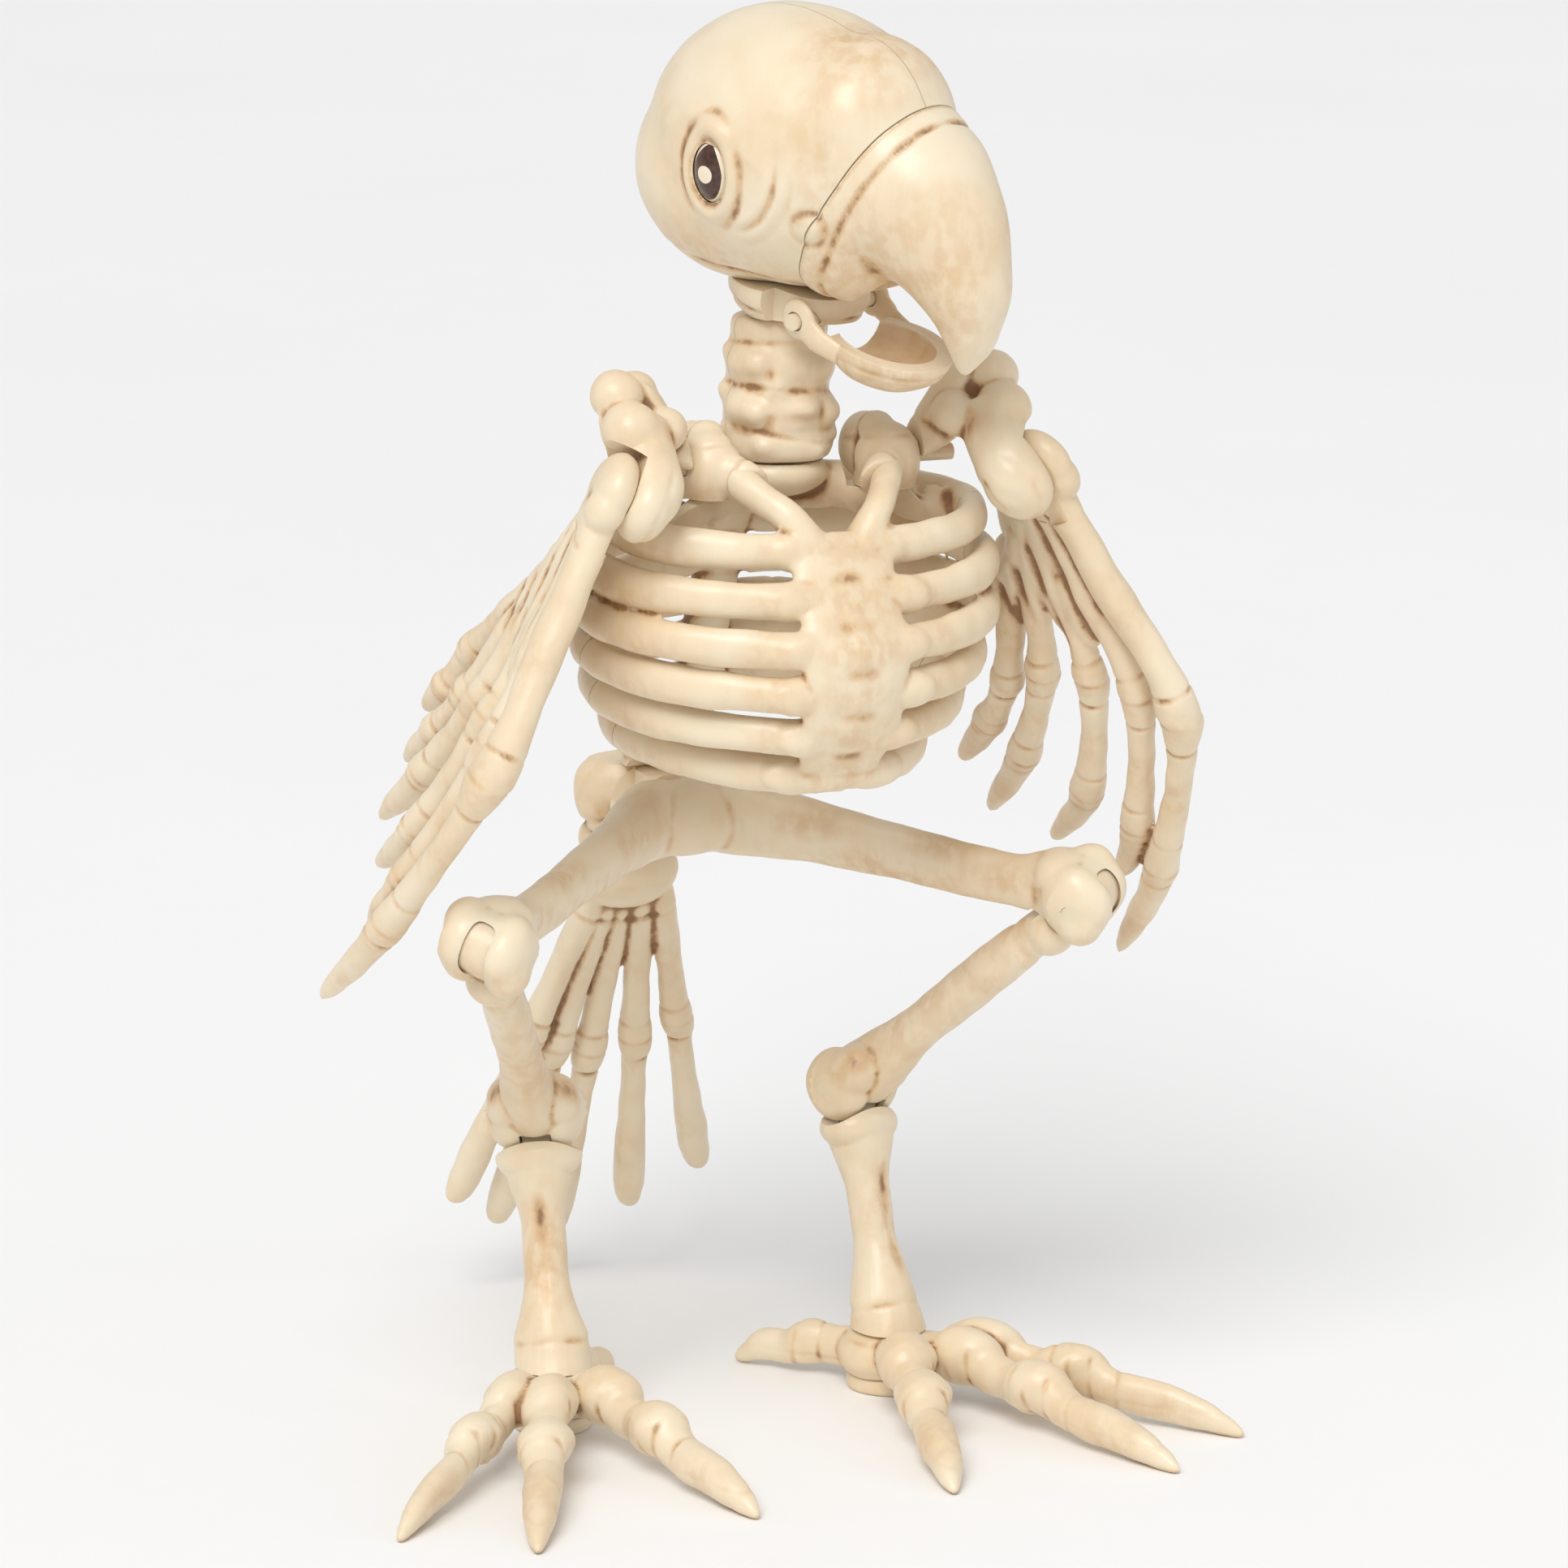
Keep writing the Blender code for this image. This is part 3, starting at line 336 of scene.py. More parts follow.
# %% [markdown]
# Knobs, bosses, pockets and pin holes start as balls, boxes and discs. They could be cut with
# a modifier stack by hand, but small functions keep each cut beside the size that it depends
# on. A cut leaves a little wash on the faces that it makes, as paint gathers inside a joint.

# %% Plain solids: balls, boxes and discs
def facing(z_dir, x_hint=(1, 0, 0)):
    """A turn whose z is z_dir and whose x lies near x_hint."""
    z, h = V(z_dir).normalized(), V(x_hint)
    x = h - z * z.dot(h)
    if x.length < 1e-3:
        x = V((0, 1, 0)) - z * z.y
    x.normalize()
    return Matrix((x, z.cross(x), z)).transposed().to_4x4()


def shaped(at, size, turn=None):
    """Stretch, turn and place a unit solid."""
    return Matrix.Translation(V(at)) @ (turn or Matrix()) @ Matrix.Diagonal((*size, 1))


def ball(bm, at, radii, turn=None):
    bmesh.ops.create_uvsphere(bm, u_segments=40, v_segments=26, radius=1.0, matrix=shaped(at, radii, turn))


def solid(bm, wash_and_shade=0.5):
    """A loose object to cut or join with; wash is what it leaves on the faces it makes."""
    bmesh.ops.triangulate(bm, faces=bm.faces[:])
    mesh = poured(bm)
    store(mesh, 'wash_and_shade', np.full(len(mesh.vertices), wash_and_shade))
    return stand('tool', mesh)


def block(at, half, turn=None, wash_and_shade=0.5):
    bm = bmesh.new()
    bmesh.ops.create_cube(bm, size=2.0, matrix=shaped(at, half, turn))
    return solid(bm, wash_and_shade)


def disc(at, axis, radius, half, wash_and_shade=0.5):
    bm = bmesh.new()
    bmesh.ops.create_cone(bm, cap_ends=True, segments=56, radius1=radius, radius2=radius, depth=2 * half,
                          matrix=Matrix.Translation(V(at)) @ facing(axis))
    return solid(bm, wash_and_shade)


def beyond(at, normal):
    """Half space behind a plane; cutting with it keeps the side the normal points to."""
    n = V(normal).normalized()
    return block(V(at) - n * 200, (200, 200, 200), facing(n), 0.75)


def bore(at, axis, half=40.0):
    return disc(at, axis, PIN_R + PIN_FIT, half, 0.8)


def slot(at, axis, directions, radius, half, wide, length=26.0):
    """Pocket in which a tongue swings: a disc and the lanes of its neck."""
    tools = [disc(at, axis, radius, half, 0.7)]
    for i, d in enumerate(directions):
        d = V(d).normalized()
        tools.append(block(V(at) + d * length * 0.5, (length * 0.5, wide, half - 0.004 * (i + 1)), facing(axis, d),
                           0.7))
    return tools


def side(p, s):
    return V((p[0] * s, p[1], p[2]))


def about(axis, degrees, v):
    return Matrix.Rotation(math.radians(degrees), 3, V(axis)) @ V(v)

# %% [markdown]
# Sculpting in code needs a fine, even skin. The Remesh modifier gives one: overlapping
# solids become a single closed surface of half-millimetre squares. The class below keeps that
# surface as arrays, so that a groove or a swelling is one line of arithmetic on all points at
# once. Two numbers are laid on as it goes: brown in creases, a wash together with painted shade,
# and tan, a rubbed stain together with painted shade in broad hollows.

# %% A blank that can be carved
def ease(low, high, x):
    t = np.clip((x - low) / (high - low), 0, 1)
    return t * t * (3 - 2 * t)


def drift(co, size):
    """Slow smooth variation from -1 to 1, the same every time."""
    p = co / size
    waves = ((1.3, 0.7, -1.1, 0.4), (-0.9, 1.5, 0.8, 2.1), (0.5, -1.2, 1.7, 4.4), (1.9, 1.1, 0.6, 5.3))
    return sum(np.sin(p @ np.array(w[:3]) + w[3]) for w in waves) / 2.6


class Blank:
    def __init__(self, bm, voxel=0.55, soft=8):
        ob = stand('blank', poured(bm, 'blank'))
        fuse = ob.modifiers.new('fuse', 'REMESH')
        fuse.mode, fuse.voxel_size = 'VOXEL', voxel
        self.mesh = finished(ob)
        bpy.data.objects.remove(ob)
        n = len(self.mesh.vertices)
        flat = np.empty(n * 3)
        self.mesh.vertices.foreach_get('co', flat)
        self.co = flat.reshape(n, 3)
        pairs = np.empty(len(self.mesh.edges) * 2, int)
        self.mesh.edges.foreach_get('vertices', pairs)
        self.a, self.b = pairs.reshape(-1, 2).T
        self.degree = np.maximum(1, np.bincount(self.a, minlength=n) + np.bincount(self.b, minlength=n))
        corners = np.empty(len(self.mesh.loops), int)
        self.mesh.loops.foreach_get('vertex_index', corners)
        self.quads = corners.reshape(-1, 4)
        self.wash_and_shade, self.stain_and_shade = np.zeros(n), np.zeros(n)
        self.relax(soft)
        self.push(0.13 * drift(self.co, 2.6))
        self.face()

    def around(self, q):
        """Mean of each point's neighbours."""
        n = len(self.co)
        return np.stack([np.bincount(self.a, q[self.b, i], n) + np.bincount(self.b, q[self.a, i], n)
                         for i in range(q.shape[1])], 1) / self.degree[:, None]

    def relax(self, times):
        """Smooth without shrinking, then find the normals."""
        for _ in range(times):
            for amount in (0.55, -0.57):
                self.co = self.co + amount * (self.around(self.co) - self.co)
        self.face()

    def melt(self, times):
        """Round off corners and fill sharp valleys."""
        for _ in range(times):
            self.co = self.co + 0.6 * (self.around(self.co) - self.co)
        self.face()

    def face(self):
        q = self.co[self.quads]
        up = np.cross(q[:, 2] - q[:, 0], q[:, 3] - q[:, 1])
        self.no = np.zeros_like(self.co)
        for k in range(4):
            for i in range(3):
                self.no[:, i] += np.bincount(self.quads[:, k], up[:, i], len(self.co))
        self.no /= np.maximum(np.linalg.norm(self.no, axis=1), 1e-12)[:, None]

    def push(self, amount, paint=0.0, stain_and_shade=0.0):
        """Move points along their normals and lay colour in the same place."""
        self.co = self.co + self.no * amount[:, None]
        strength = np.abs(amount) / max(1e-9, np.abs(amount).max())
        # The colour laid is brown wash with painted crease shade, and tan stain with painted shade.
        self.wash_and_shade = np.maximum(self.wash_and_shade, paint * strength)
        self.stain_and_shade = np.maximum(self.stain_and_shade, stain_and_shade * strength)

    def groove(self, at, along, width=0.5, depth=0.35, reach=9.0, paint=0.8):
        """Crease round the bone where a plane crosses it; paint lays brown wash with painted shade in it."""
        n = np.array(V(along).normalized())
        p = self.co - np.array(at)
        d = p @ n
        r = np.linalg.norm(p - d[:, None] * n, axis=1)
        uneven = 0.35 + 0.75 * np.clip(0.5 + 0.6 * drift(self.co, 1.9), 0, 1)
        self.push(-depth * uneven * np.exp(-(d / (1.25 * width)) ** 2) * (1 - ease(reach * 0.85, reach, r)),
                  0.72 * paint)

    def swell(self, at, radii, height, turn=None, paint=0.0, stain_and_shade=0.0):
        """Rounded rise, or a dimple when height is negative; paint lays brown wash with painted shade in the dimple.
        """
        p = self.co - np.array(at)
        if turn is not None:
            p = p @ np.array(turn.to_3x3())
        self.push(height * np.exp(-((p / np.array(radii)) ** 2).sum(1)), paint, stain_and_shade)

    def rub(self, at, radii, amount):
        """Tan colour only, with no change of shape."""
        p = (self.co - np.array(at)) / np.array(radii)
        self.stain_and_shade = np.maximum(self.stain_and_shade, amount * np.exp(-(p ** 2).sum(1)))

    def shade_hollows(self):
        """Painted shade in the hollows: brown by their depth at a fine and a broad scale, and tan in the broad ones.
        """
        fine, rest = self.co, []
        for times in (10, 50):
            for _ in range(times):
                fine = self.around(fine)
            rest.append(((fine - self.co) * self.no).sum(1))
        hollow = 4.2 * np.clip(rest[0] - 0.012, 0, 1) + 1.2 * np.clip(rest[1] - 0.07, 0, 1)
        self.wash_and_shade = np.clip(self.wash_and_shade + hollow, 0, 1.2)
        self.wash_and_shade = self.around(self.wash_and_shade[:, None])[:, 0]
        # Painted shade: tan in the broad hollows.
        self.stain_and_shade = np.clip(self.stain_and_shade + 0.35 * np.clip(rest[1], 0, 1), 0, 1)


# %% [markdown]
# A carved blank still has to part from its neighbours. Booleans on a closed, even skin are
# quick and safe, and they carry the painted numbers along. The result takes the place of one
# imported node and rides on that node's body, so it turns with the joint.

# %% Casting a blank into a finished piece
def joined(ob, tool, operation):
    cut = ob.modifiers.new('cut', 'BOOLEAN')
    cut.operation, cut.solver, cut.object = operation, 'MANIFOLD', tool
    mesh = finished(ob)
    if len(mesh.polygons) < 20:
        cut.solver = 'EXACT'
        mesh = finished(ob)
    ob.modifiers.clear()
    ob.data = mesh
    bpy.data.objects.remove(tool)


def drop_slivers(mesh):
    """Keep the biggest connected body."""
    n = len(mesh.vertices)
    pairs = np.empty(len(mesh.edges) * 2, int)
    mesh.edges.foreach_get('vertices', pairs)
    a, b = pairs.reshape(-1, 2).T
    label = np.arange(n)
    while True:
        low = np.minimum(label[a], label[b])
        new = label.copy()
        np.minimum.at(new, a, low)
        np.minimum.at(new, b, low)
        new = new[new]
        if (new == label).all():
            break
        label = new
    names, count = np.unique(label, return_counts=True)
    if len(names) > 1:
        keep = label == names[count.argmax()]
        bm = bmesh.new()
        bm.from_mesh(mesh)
        bmesh.ops.delete(bm, geom=[v for v, k in zip(bm.verts[:], keep) if not k], context='VERTS')
        bm.to_mesh(mesh)
        bm.free()


def soft_tool(bm, voxel=0.4, wash_and_shade=0.15):
    """A smooth fused solid to join on."""
    b = Blank(bm, voxel, 5)
    b.mesh.vertices.foreach_set('co', b.co.ravel())
    store(b.mesh, 'wash_and_shade', np.full(len(b.co), wash_and_shade))
    return stand('tool', b.mesh)


TOTAL = [0]


def cast(name, blank, node, body, cuts, place=PLACE, mirror=False):
    """Cut a carved blank (a tool in brackets is joined on), carry it to the frame and hand it over."""
    blank.shade_hollows()
    blank.mesh.vertices.foreach_set('co', blank.co.ravel())
    store(blank.mesh, 'wash_and_shade', blank.wash_and_shade)
    store(blank.mesh, 'stain_and_shade', blank.stain_and_shade)
    ob = stand(name, blank.mesh)
    for tool in cuts:
        joined(ob, *((tool[0], 'UNION') if isinstance(tool, tuple) else (tool, 'DIFFERENCE')))
    drop_slivers(ob.data)
    ob.data.transform(place)
    if mirror:
        ob.data.transform(Matrix.Diagonal((-1, 1, 1, 1)))
        ob.data.flip_normals()
    hand_over(ob, node, body, IVORY)


def hand_over(ob, node, body, material):
    ob.data.materials.clear()
    ob.data.materials.append(material)
    ob.data.shade_smooth()
    ob.data.set_sharp_from_angle(angle=math.radians(48))
    ob.data.calc_loop_triangles()
    TOTAL[0] += len(ob.data.loop_triangles)
    print(ob.name, len(ob.data.loop_triangles), 'triangles')
    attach(ob, body)
    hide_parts(node)


def twins(stem, node, body, make):
    """make(s) gives the blank and its cuts on the left; the right is its mirror image."""
    for tag in ('left', 'right'):
        blank, cuts = make()
        cast(stem + '_' + tag, blank, node + '_' + tag, body if body == 'torso' else body + '_' + tag,
             cuts, mirror=tag == 'right')

# %% [markdown]
# The rib cage is two shells. Six ribs a side run from the breast plate to the spine, and the
# shells part along a sloping plane at the bird's sides. Each rib is a swept path.

# %% Ribs
def ring_point(k, a):
    c, s = math.cos(a), math.sin(a)
    depth = RIB_FRONT[k] if c > 0 else RIB_BACK[k]
    return hip + V((RIB_HALF[k] * s, RIB_MID_Y[k] - depth * c, CHEST_Z - RIB_PITCH * k - 2.5 * c))


def rib(bm, k, a0, a1, count=44):
    turns = [math.radians(a0 + (a1 - a0) * i / count) for i in range(count + 1)]
    radii = [RIB_THICK * (0.93 + 0.15 * math.sin(a) ** 2 + 0.04 * math.sin(5.0 * a + 2 * k)) for a in turns]
    tube(bm, [ring_point(k, a) for a in turns], radii, flat=RIB_TALL / RIB_THICK, hint=(0, 0, 1))


split_at, split_n = hip + V((0, -49.5, CHEST_Z - RIB_PITCH * 2.5)), V((0, 0.93, 0.37))
front, back = [ring_point(k, 0) for k in range(RIBS)], [ring_point(k, math.pi) for k in range(RIBS)]

# %% [markdown]
# The breast shell also carries the wishbone, two round arms that run down in a U to the plate.
# The plate is a flattened bone along the rib ends, with a soft knob where each rib joins it.

# %% Breast shell
bm = bmesh.new()
for k in range(RIBS):
    rib(bm, k, -100, 100)
bone(bm, [front[0] + V((0, 2, 2))] + front + [front[-1] + V((0, 3, -4))],
     [7.5, 10.6, 9.6, 11.2, 9.8, 10.0, 7.4, 3.0], flat=0.32, hint=(0, 1, 0))
for s in (1, -1):
    arm = ((20, -52, 80), (17, -60, 78.5), (12.5, -68, 74.5), (8, -73, 70.5))
    bone(bm, [hip + V((s * x, y, z)) for x, y, z in arm] + [front[0] + V((s * 3.0, 1.0, -2.5))],
         [3.4, 3.4, 3.2, 3.6, 4.8])
    for k in range(RIBS):
        ball(bm, ring_point(k, s * math.radians(13 + 3 * (k % 2))), (6.6, 2.9, 3.75))
breast = Blank(bm, 0.6, 7)
for k in range(RIBS):
    for s in (1, -1):
        at = ring_point(k, s * math.radians(18))
        breast.swell(at, (4.0, 3.0, 2.6), 0.55)
        breast.rub(ring_point(k, s * math.radians(24)), (5, 4, 3), 0.5)
        breast.rub(ring_point(k, s * math.radians(70)) - V((0, 0, 2)), (9, 9, 2.2), 0.55)
    breast.rub(front[k] + V((0, -2, 0)), (9.0, 8.0, 4.5), 0.55 + 0.08 * (k % 3))
for k in range(RIBS - 1):
    breast.swell((front[k] + front[k + 1]) * 0.5 + V((0, -2.5, 0)), (4.2, 4.0, 1.6), -0.45, paint=0.35)
breast.swell(front[2] + V((0, -3, 0)), (1.6, 6, 20), 0.35)
for s in (1, -1):
    breast.rub(hip + V((s * 11, -67, 74)), (5, 6, 4), 0.5)
cast('breast_shell', breast, 'ribcage_front', 'torso',
     [beyond(split_at - split_n * GAP * 0.5, -split_n), block(hip + V((0, -52, CHEST_Z + 20.2)), (60, 9, 10))]
     + [block(side(shoulder + V((-1.4, 3.2, 5)), s), (6.7, 11.3, 11)) for s in (1, -1)])

# %% Back shell
bm = bmesh.new()
for k in range(RIBS):
    rib(bm, k, 80, 280)
spine = [back[0] + V((0, -3, 3))] + back + [hip + V((0, 0, 14))]
bone(bm, spine, [4.5, 4.6, 4.6, 4.6, 4.6, 4.6, 4.6, 5.0])
beads(bm, [p + V((0, 3.2, 0)) for p in back], (5.6, 5.2, 3.4))
bone(bm, [back[0], hip + V((0, -38, 72)), hip + V((0, -46.8, 75))], [5.0, 6.5, 8.0])
ball(bm, hip + V((0, -46.8, 75.5)), (9.5, 9.5, 5.0))
for s in (1, -1):
    bone(bm, [hip + V((0, -44, 72)), hip + V((s * 12, -50, 72.5)), hip + V((s * 19, -55, 70)),
              ring_point(0, math.radians(s * 95))], [4.5, 4.6, 5.2, 3.4])
shell = Blank(bm, 0.6, 7)
for k, p in enumerate(back):
    for dz in (3.7, -3.7):
        shell.groove(p + V((0, 1, dz)), (0, 0.25, 1), 0.55, 0.45, 6.6, 0.75)
    shell.rub(p + V((0, 3, 0)), (7, 7, 3), 0.5)
    for s in (1, -1):
        shell.swell(ring_point(k, math.pi - s * 0.22) + V((0, 2, 0)), (2.4, 2.4, 2.2), 0.5)
        shell.groove(ring_point(k, math.pi - s * 0.34), (1, 0, 0), 0.5, 0.25, 5.0, 0.5)
        shell.rub(ring_point(k, math.pi - s * 1.0), (12, 12, 3), 0.35)
cast('back_shell', shell, 'ribcage_back', 'torso',
     [beyond(split_at + split_n * GAP * 0.5, split_n), beyond(neck_foot - V((0, 0, GAP)), (0, 0, -1))]
     + [block(hip + V((s * 22.5, -52, CHEST_Z + 15)), (11.5, 18, 10)) for s in (1, -1)]
     + [beyond(hip + V((0, 0, 19)), (0, 0, 1))])

# %% [markdown]
# The shoulder blocks stand on flat pads of the back shell and hold the wing pivots. The neck is
# a turned column of soft lobes in two halves, with a slot pressed into the front one.

# %% Shoulder blocks
def coracoid():
    bm = bmesh.new()
    ball(bm, shoulder + V((-1.0, 0, -1.0)), (6.2, 6.8, 7.6))
    ball(bm, shoulder + V((-1.5, 9.0, 0.5)), (5.2, 5.5, 6.5))
    tube(bm, [shoulder + V(at) for at in ((-1, -1, 0), (-4.6, -6.0, -2.2), (-6.0, -7.7, -3.0))], [4.4, 4.5, 4.2])
    ball(bm, shoulder + V((-1.2, 1.0, -5.0)), (5.6, 7.0, 5.0))
    ball(bm, shoulder + V((-1.8, 4.0, 4.6)), (3.6, 4.6, 3.4))
    b = Blank(bm, 0.45, 6)
    b.melt(10)
    b.groove(shoulder + V((-4.4, -5.8, -2.1)), (-0.6, -0.75, -0.3), 0.4, 0.35, 6, 0.9)
    b.groove(shoulder + V((0, 5.4, 0)), (0, 1, 0.1), 0.5, 0.5, 12, 0.8)
    b.groove(shoulder + V((0, 0, 3.6)), (0, 0.2, 1), 0.4, 0.3, 12, 0.5)
    b.swell(shoulder + V((-3, -6, -2)), (2.4, 2.4, 2.4), 0.5)
    b.rub(shoulder + V((0, -3, -6)), (8, 8, 4), 0.7)
    return b, [beyond(hip + V((0, 0, CHEST_Z + 5.0 + GAP)), (0, 0, 1)), beyond(shoulder + V((4, 0, 0)), (-1, 0, 0)),
               bore(shoulder + V((4.6, 0, 0)), (1, 0, 0), 7.8)]


twins('shoulder_block', 'coracoid', 'torso', coracoid)

# %% Neck
BUMPS = ((0.0, 0.90), (0.03, 0.97), (0.15, 0.98), (0.21, 0.90), (0.27, 0.96), (0.36, 1.0), (0.45, 0.95), (0.51, 0.86),
         (0.58, 0.92), (0.68, 0.96), (0.77, 0.91), (0.83, 0.82), (0.88, 0.88), (0.96, 0.88), (1.0, 0.82))
LUMPS = ((-6.5, -8.0, 3.4, 3.0), (4.5, -9.2, 2.2, 2.6), (9.4, -3.5, 4.2, 3.0), (-9.6, 1.5, 6.0, 3.2),
         (-7.4, -7.0, 9.6, 3.6), (2.0, -9.8, 10.6, 3.2), (8.2, -6.2, 9.2, 3.4), (9.8, 2.6, 10.4, 3.2),
         (-9.6, 3.8, 12.6, 3.0), (-4.6, -8.8, 14.6, 2.6), (6.0, -7.8, 17.6, 3.4), (-7.2, -6.4, 18.8, 3.4),
         (0.5, -9.2, 19.6, 2.6), (9.0, 2.0, 18.4, 3.0), (-8.8, 3.2, 20.2, 3.0), (-4.0, 9.0, 5.0, 3.0),
         (4.8, 8.6, 10.4, 3.2), (-4.4, 8.6, 16.8, 3.0), (5.0, -7.2, 24.2, 2.6), (-6.0, -6.0, 23.6, 2.4))
for name, node, s in (('neck_column_front', 'neck_front', -1), ('neck_column_back', 'neck_back', 1)):
    bm = bmesh.new()
    tube(bm, [neck_foot + V((0, 0, t * NECK_LEN)) for t, r in BUMPS], [NECK_R * r * 0.97 for t, r in BUMPS], sides=64)
    for x, y, z, r in LUMPS:
        ball(bm, neck_foot + V((x * 0.84, y * 0.84, z * NECK_LEN / 27.0)), (r, r, r * 0.86))
    neck = Blank(bm, 0.45, 5)
    neck.melt(26)
    neck.swell(neck_foot + V((0, -10, 8.8)), (4.4, 4, 1.3), -0.5, paint=0.35)
    for t in (0.34, 0.66):
        for x in (1, -1):
            neck.swell(neck_foot + V((x * 5.6, -8.6, NECK_LEN * t + x)), (1.5, 2.6, 2.8), -0.5, paint=0.10)
            neck.swell(neck_foot + V((x * 8.0, 6.5, NECK_LEN * t)), (2.0, 2.4, 2.4), -0.4, paint=0.1)
            neck.swell(neck_foot + V((x * 10.2, -2.5, NECK_LEN * t - 0.8 * x)), (3.2, 3.6, 2.8), 0.9)
            neck.swell(neck_foot + V((x * 1.5, -10.5, NECK_LEN * t)), (2.6, 2.0, 2.2), 0.45)
    for t in (0.19, 0.50, 0.82):
        slant = (0.10 - 0.3 * (t - 0.5), 0.22 * (t - 0.4), 1)
        neck.groove(neck_foot + V((0, 0, NECK_LEN * t)), slant, 0.5, 0.22, 14, 0.3)
    neck.rub(neck_foot + V((0, 0, 14)), (14, 14, 12), 0.40)
    cast(name, neck, node, 'torso', [disc(neck_top, (0, 0, 1), PEG_HOLE_R, 11.0),
                                     beyond(neck_foot + V((0, s * GAP * 0.5, 0)), (0, s, 0))])

# %% [markdown]
# Below the ribs come two lumbar bodies, the pelvis block with the hip eye, and a fan of five
# tail bones, each with a knuckle a little above its middle.

# %% Lower back
bm = bmesh.new()
for i, (y, z) in enumerate(((0.5, 15.5), (6.0, 9.5))):
    ball(bm, hip + V((0, y + 6, z + 1.5)), (9.2 - i, 6.6, 3.9))
bone(bm, [hip + V((0, 1, 22)), hip + V((0, 9, 14)), hip + V((0, 15, 4))], [5.0, 6.0, 6.0])
loin = Blank(bm, 0.45, 5)
for s in (1, -1):
    loin.swell(hip + V((s * 8, 8, 16)), (2.2, 3, 2.2), 0.5)
    loin.swell(hip + V((s * 5, 1.5, 14)), (2.0, 2.0, 3), -0.5, paint=0.5)
loin.groove(hip + V((0, 9, 13.6)), (0, -0.5, 0.87), 0.5, 0.5, 14, 0.9)
cast('lumbar_bodies', loin, 'lumbar_spine', 'torso',
     [beyond(hip + V((0, 0, 19 - GAP)), (0, 0, -1)), beyond(hip + V((0, 0, 6 + GAP)), (0, 0, 1)),
      disc(hip_axle, (1, 0, 0), 9.8, 30)])

# %% Pelvis
bm = bmesh.new()
ball(bm, hip + V((0, 21, -1)), (13.0, 9.5, 11.0))
ball(bm, hip + V((0, 25, -11)), (10.5, 7.5, 8.0))
bone(bm, [hip_axle, hip + V((0, 18, 0))], [6.0, 6.6])
rump = Blank(bm, 0.5, 6)
for s in (1, -1):
    rump.swell(hip + V((s * 11, 22, 3)), (3, 4, 3), 0.7)
    rump.swell(hip + V((s * 8.5, 15, -4)), (2.6, 3, 3.4), -0.8, paint=0.7)
    rump.swell(hip + V((s * 5, 30, -3)), (2.2, 3, 4), -0.5, paint=0.5)
rump.swell(hip + V((0, 30.5, -2)), (1.6, 3, 9), 0.6)
rump.groove(hip + V((0, 24, -7)), (0, 0.2, 1), 0.6, 0.5, 20, 0.7)
rump.rub(hip + V((0, 24, -2)), (14, 12, 10), 0.45)
cast('pelvis_block', rump, 'pelvis', 'torso',
     [block(hip_axle + V((s * 18.6, -5, 0)), (15, 13.8, 30)) for s in (1, -1)]
     + [beyond(hip + V((0, 0, 6)), (0, 0, -1)), beyond(hip + V((0, 0, -15)), (0, 0, 1)), bore(hip_axle, (1, 0, 0))])

# %% Tail
tail_root, tail_dir = hip + V((0, 26, -16)), V((0, 0.405, -0.914)).normalized()
TAIL = ((-13, 0.90), (-7, 0.96), (0, 1.0), (8, 0.95), (16, 0.88))


def tail_line(turn, length):
    c = math.cos(math.radians(turn))
    d = V((math.sin(math.radians(turn)), tail_dir.y * c, tail_dir.z * c))
    return tail_root + V((turn * 0.42, 2.0 - 0.10 * abs(turn), -4)), d, (TAIL_LEN - 6.0) * length


bm = bmesh.new()
ball(bm, tail_root + V((0, 0.5, -2.5)), (11.0, 6.0, 7.5))
for turn, length in TAIL:
    root, d, L = tail_line(turn, length)
    where = (0, 0.12, 0.30, 0.40, 0.445, 0.475, 0.505, 0.54, 0.60, 0.72, 0.85, 0.93, 0.97, 0.99, 1.0)
    fat = (0.95, 0.98, 0.88, 0.95, 1.12, 1.18, 1.10, 0.88, 0.82, 0.92, 1.10, 1.06, 0.88, 0.66, 0.30)
    tube(bm, [root + d * (L * t) for t in where], [TAIL_R * q for q in fat])
fan = Blank(bm, 0.5, 6)
for turn, length in TAIL:
    root, d, L = tail_line(turn, length)
    for t, deep in ((0.10, 0.30), (0.425, 0.28), (0.475, 0.18), (0.53, 0.40)):
        fan.groove(root + d * (L * t), d, 0.45, deep, 5.2, 0.9)
    for t in (0.2, 0.5, 0.8):
        fan.rub(root + d * (L * t), (3.5, 3.5, 9), 0.42)
fan.groove(tail_root + V((0, 0, -3.5)), (0, -0.3, 1), 0.6, 0.12, 14, 0.25)
cast('tail_bones', fan, 'tail_fan', 'torso', [beyond(hip + V((0, 0, -15 - GAP)), (0, 0, -1))])

# %% [markdown]
# Both thighs are one V-shaped moulding that turns in the hip eye. Each knee is a thick barrel
# with a slot for the shin's tongue. Shins, shanks and feet are the same on both sides, so the
# right ones are mirror images, with their faces turned back outwards.

# %% Thighs
shaft, tibia_in = (knee - hip).normalized(), (ankle - knee).normalized()


def down_shaft(s):
    return side(shaft, s)


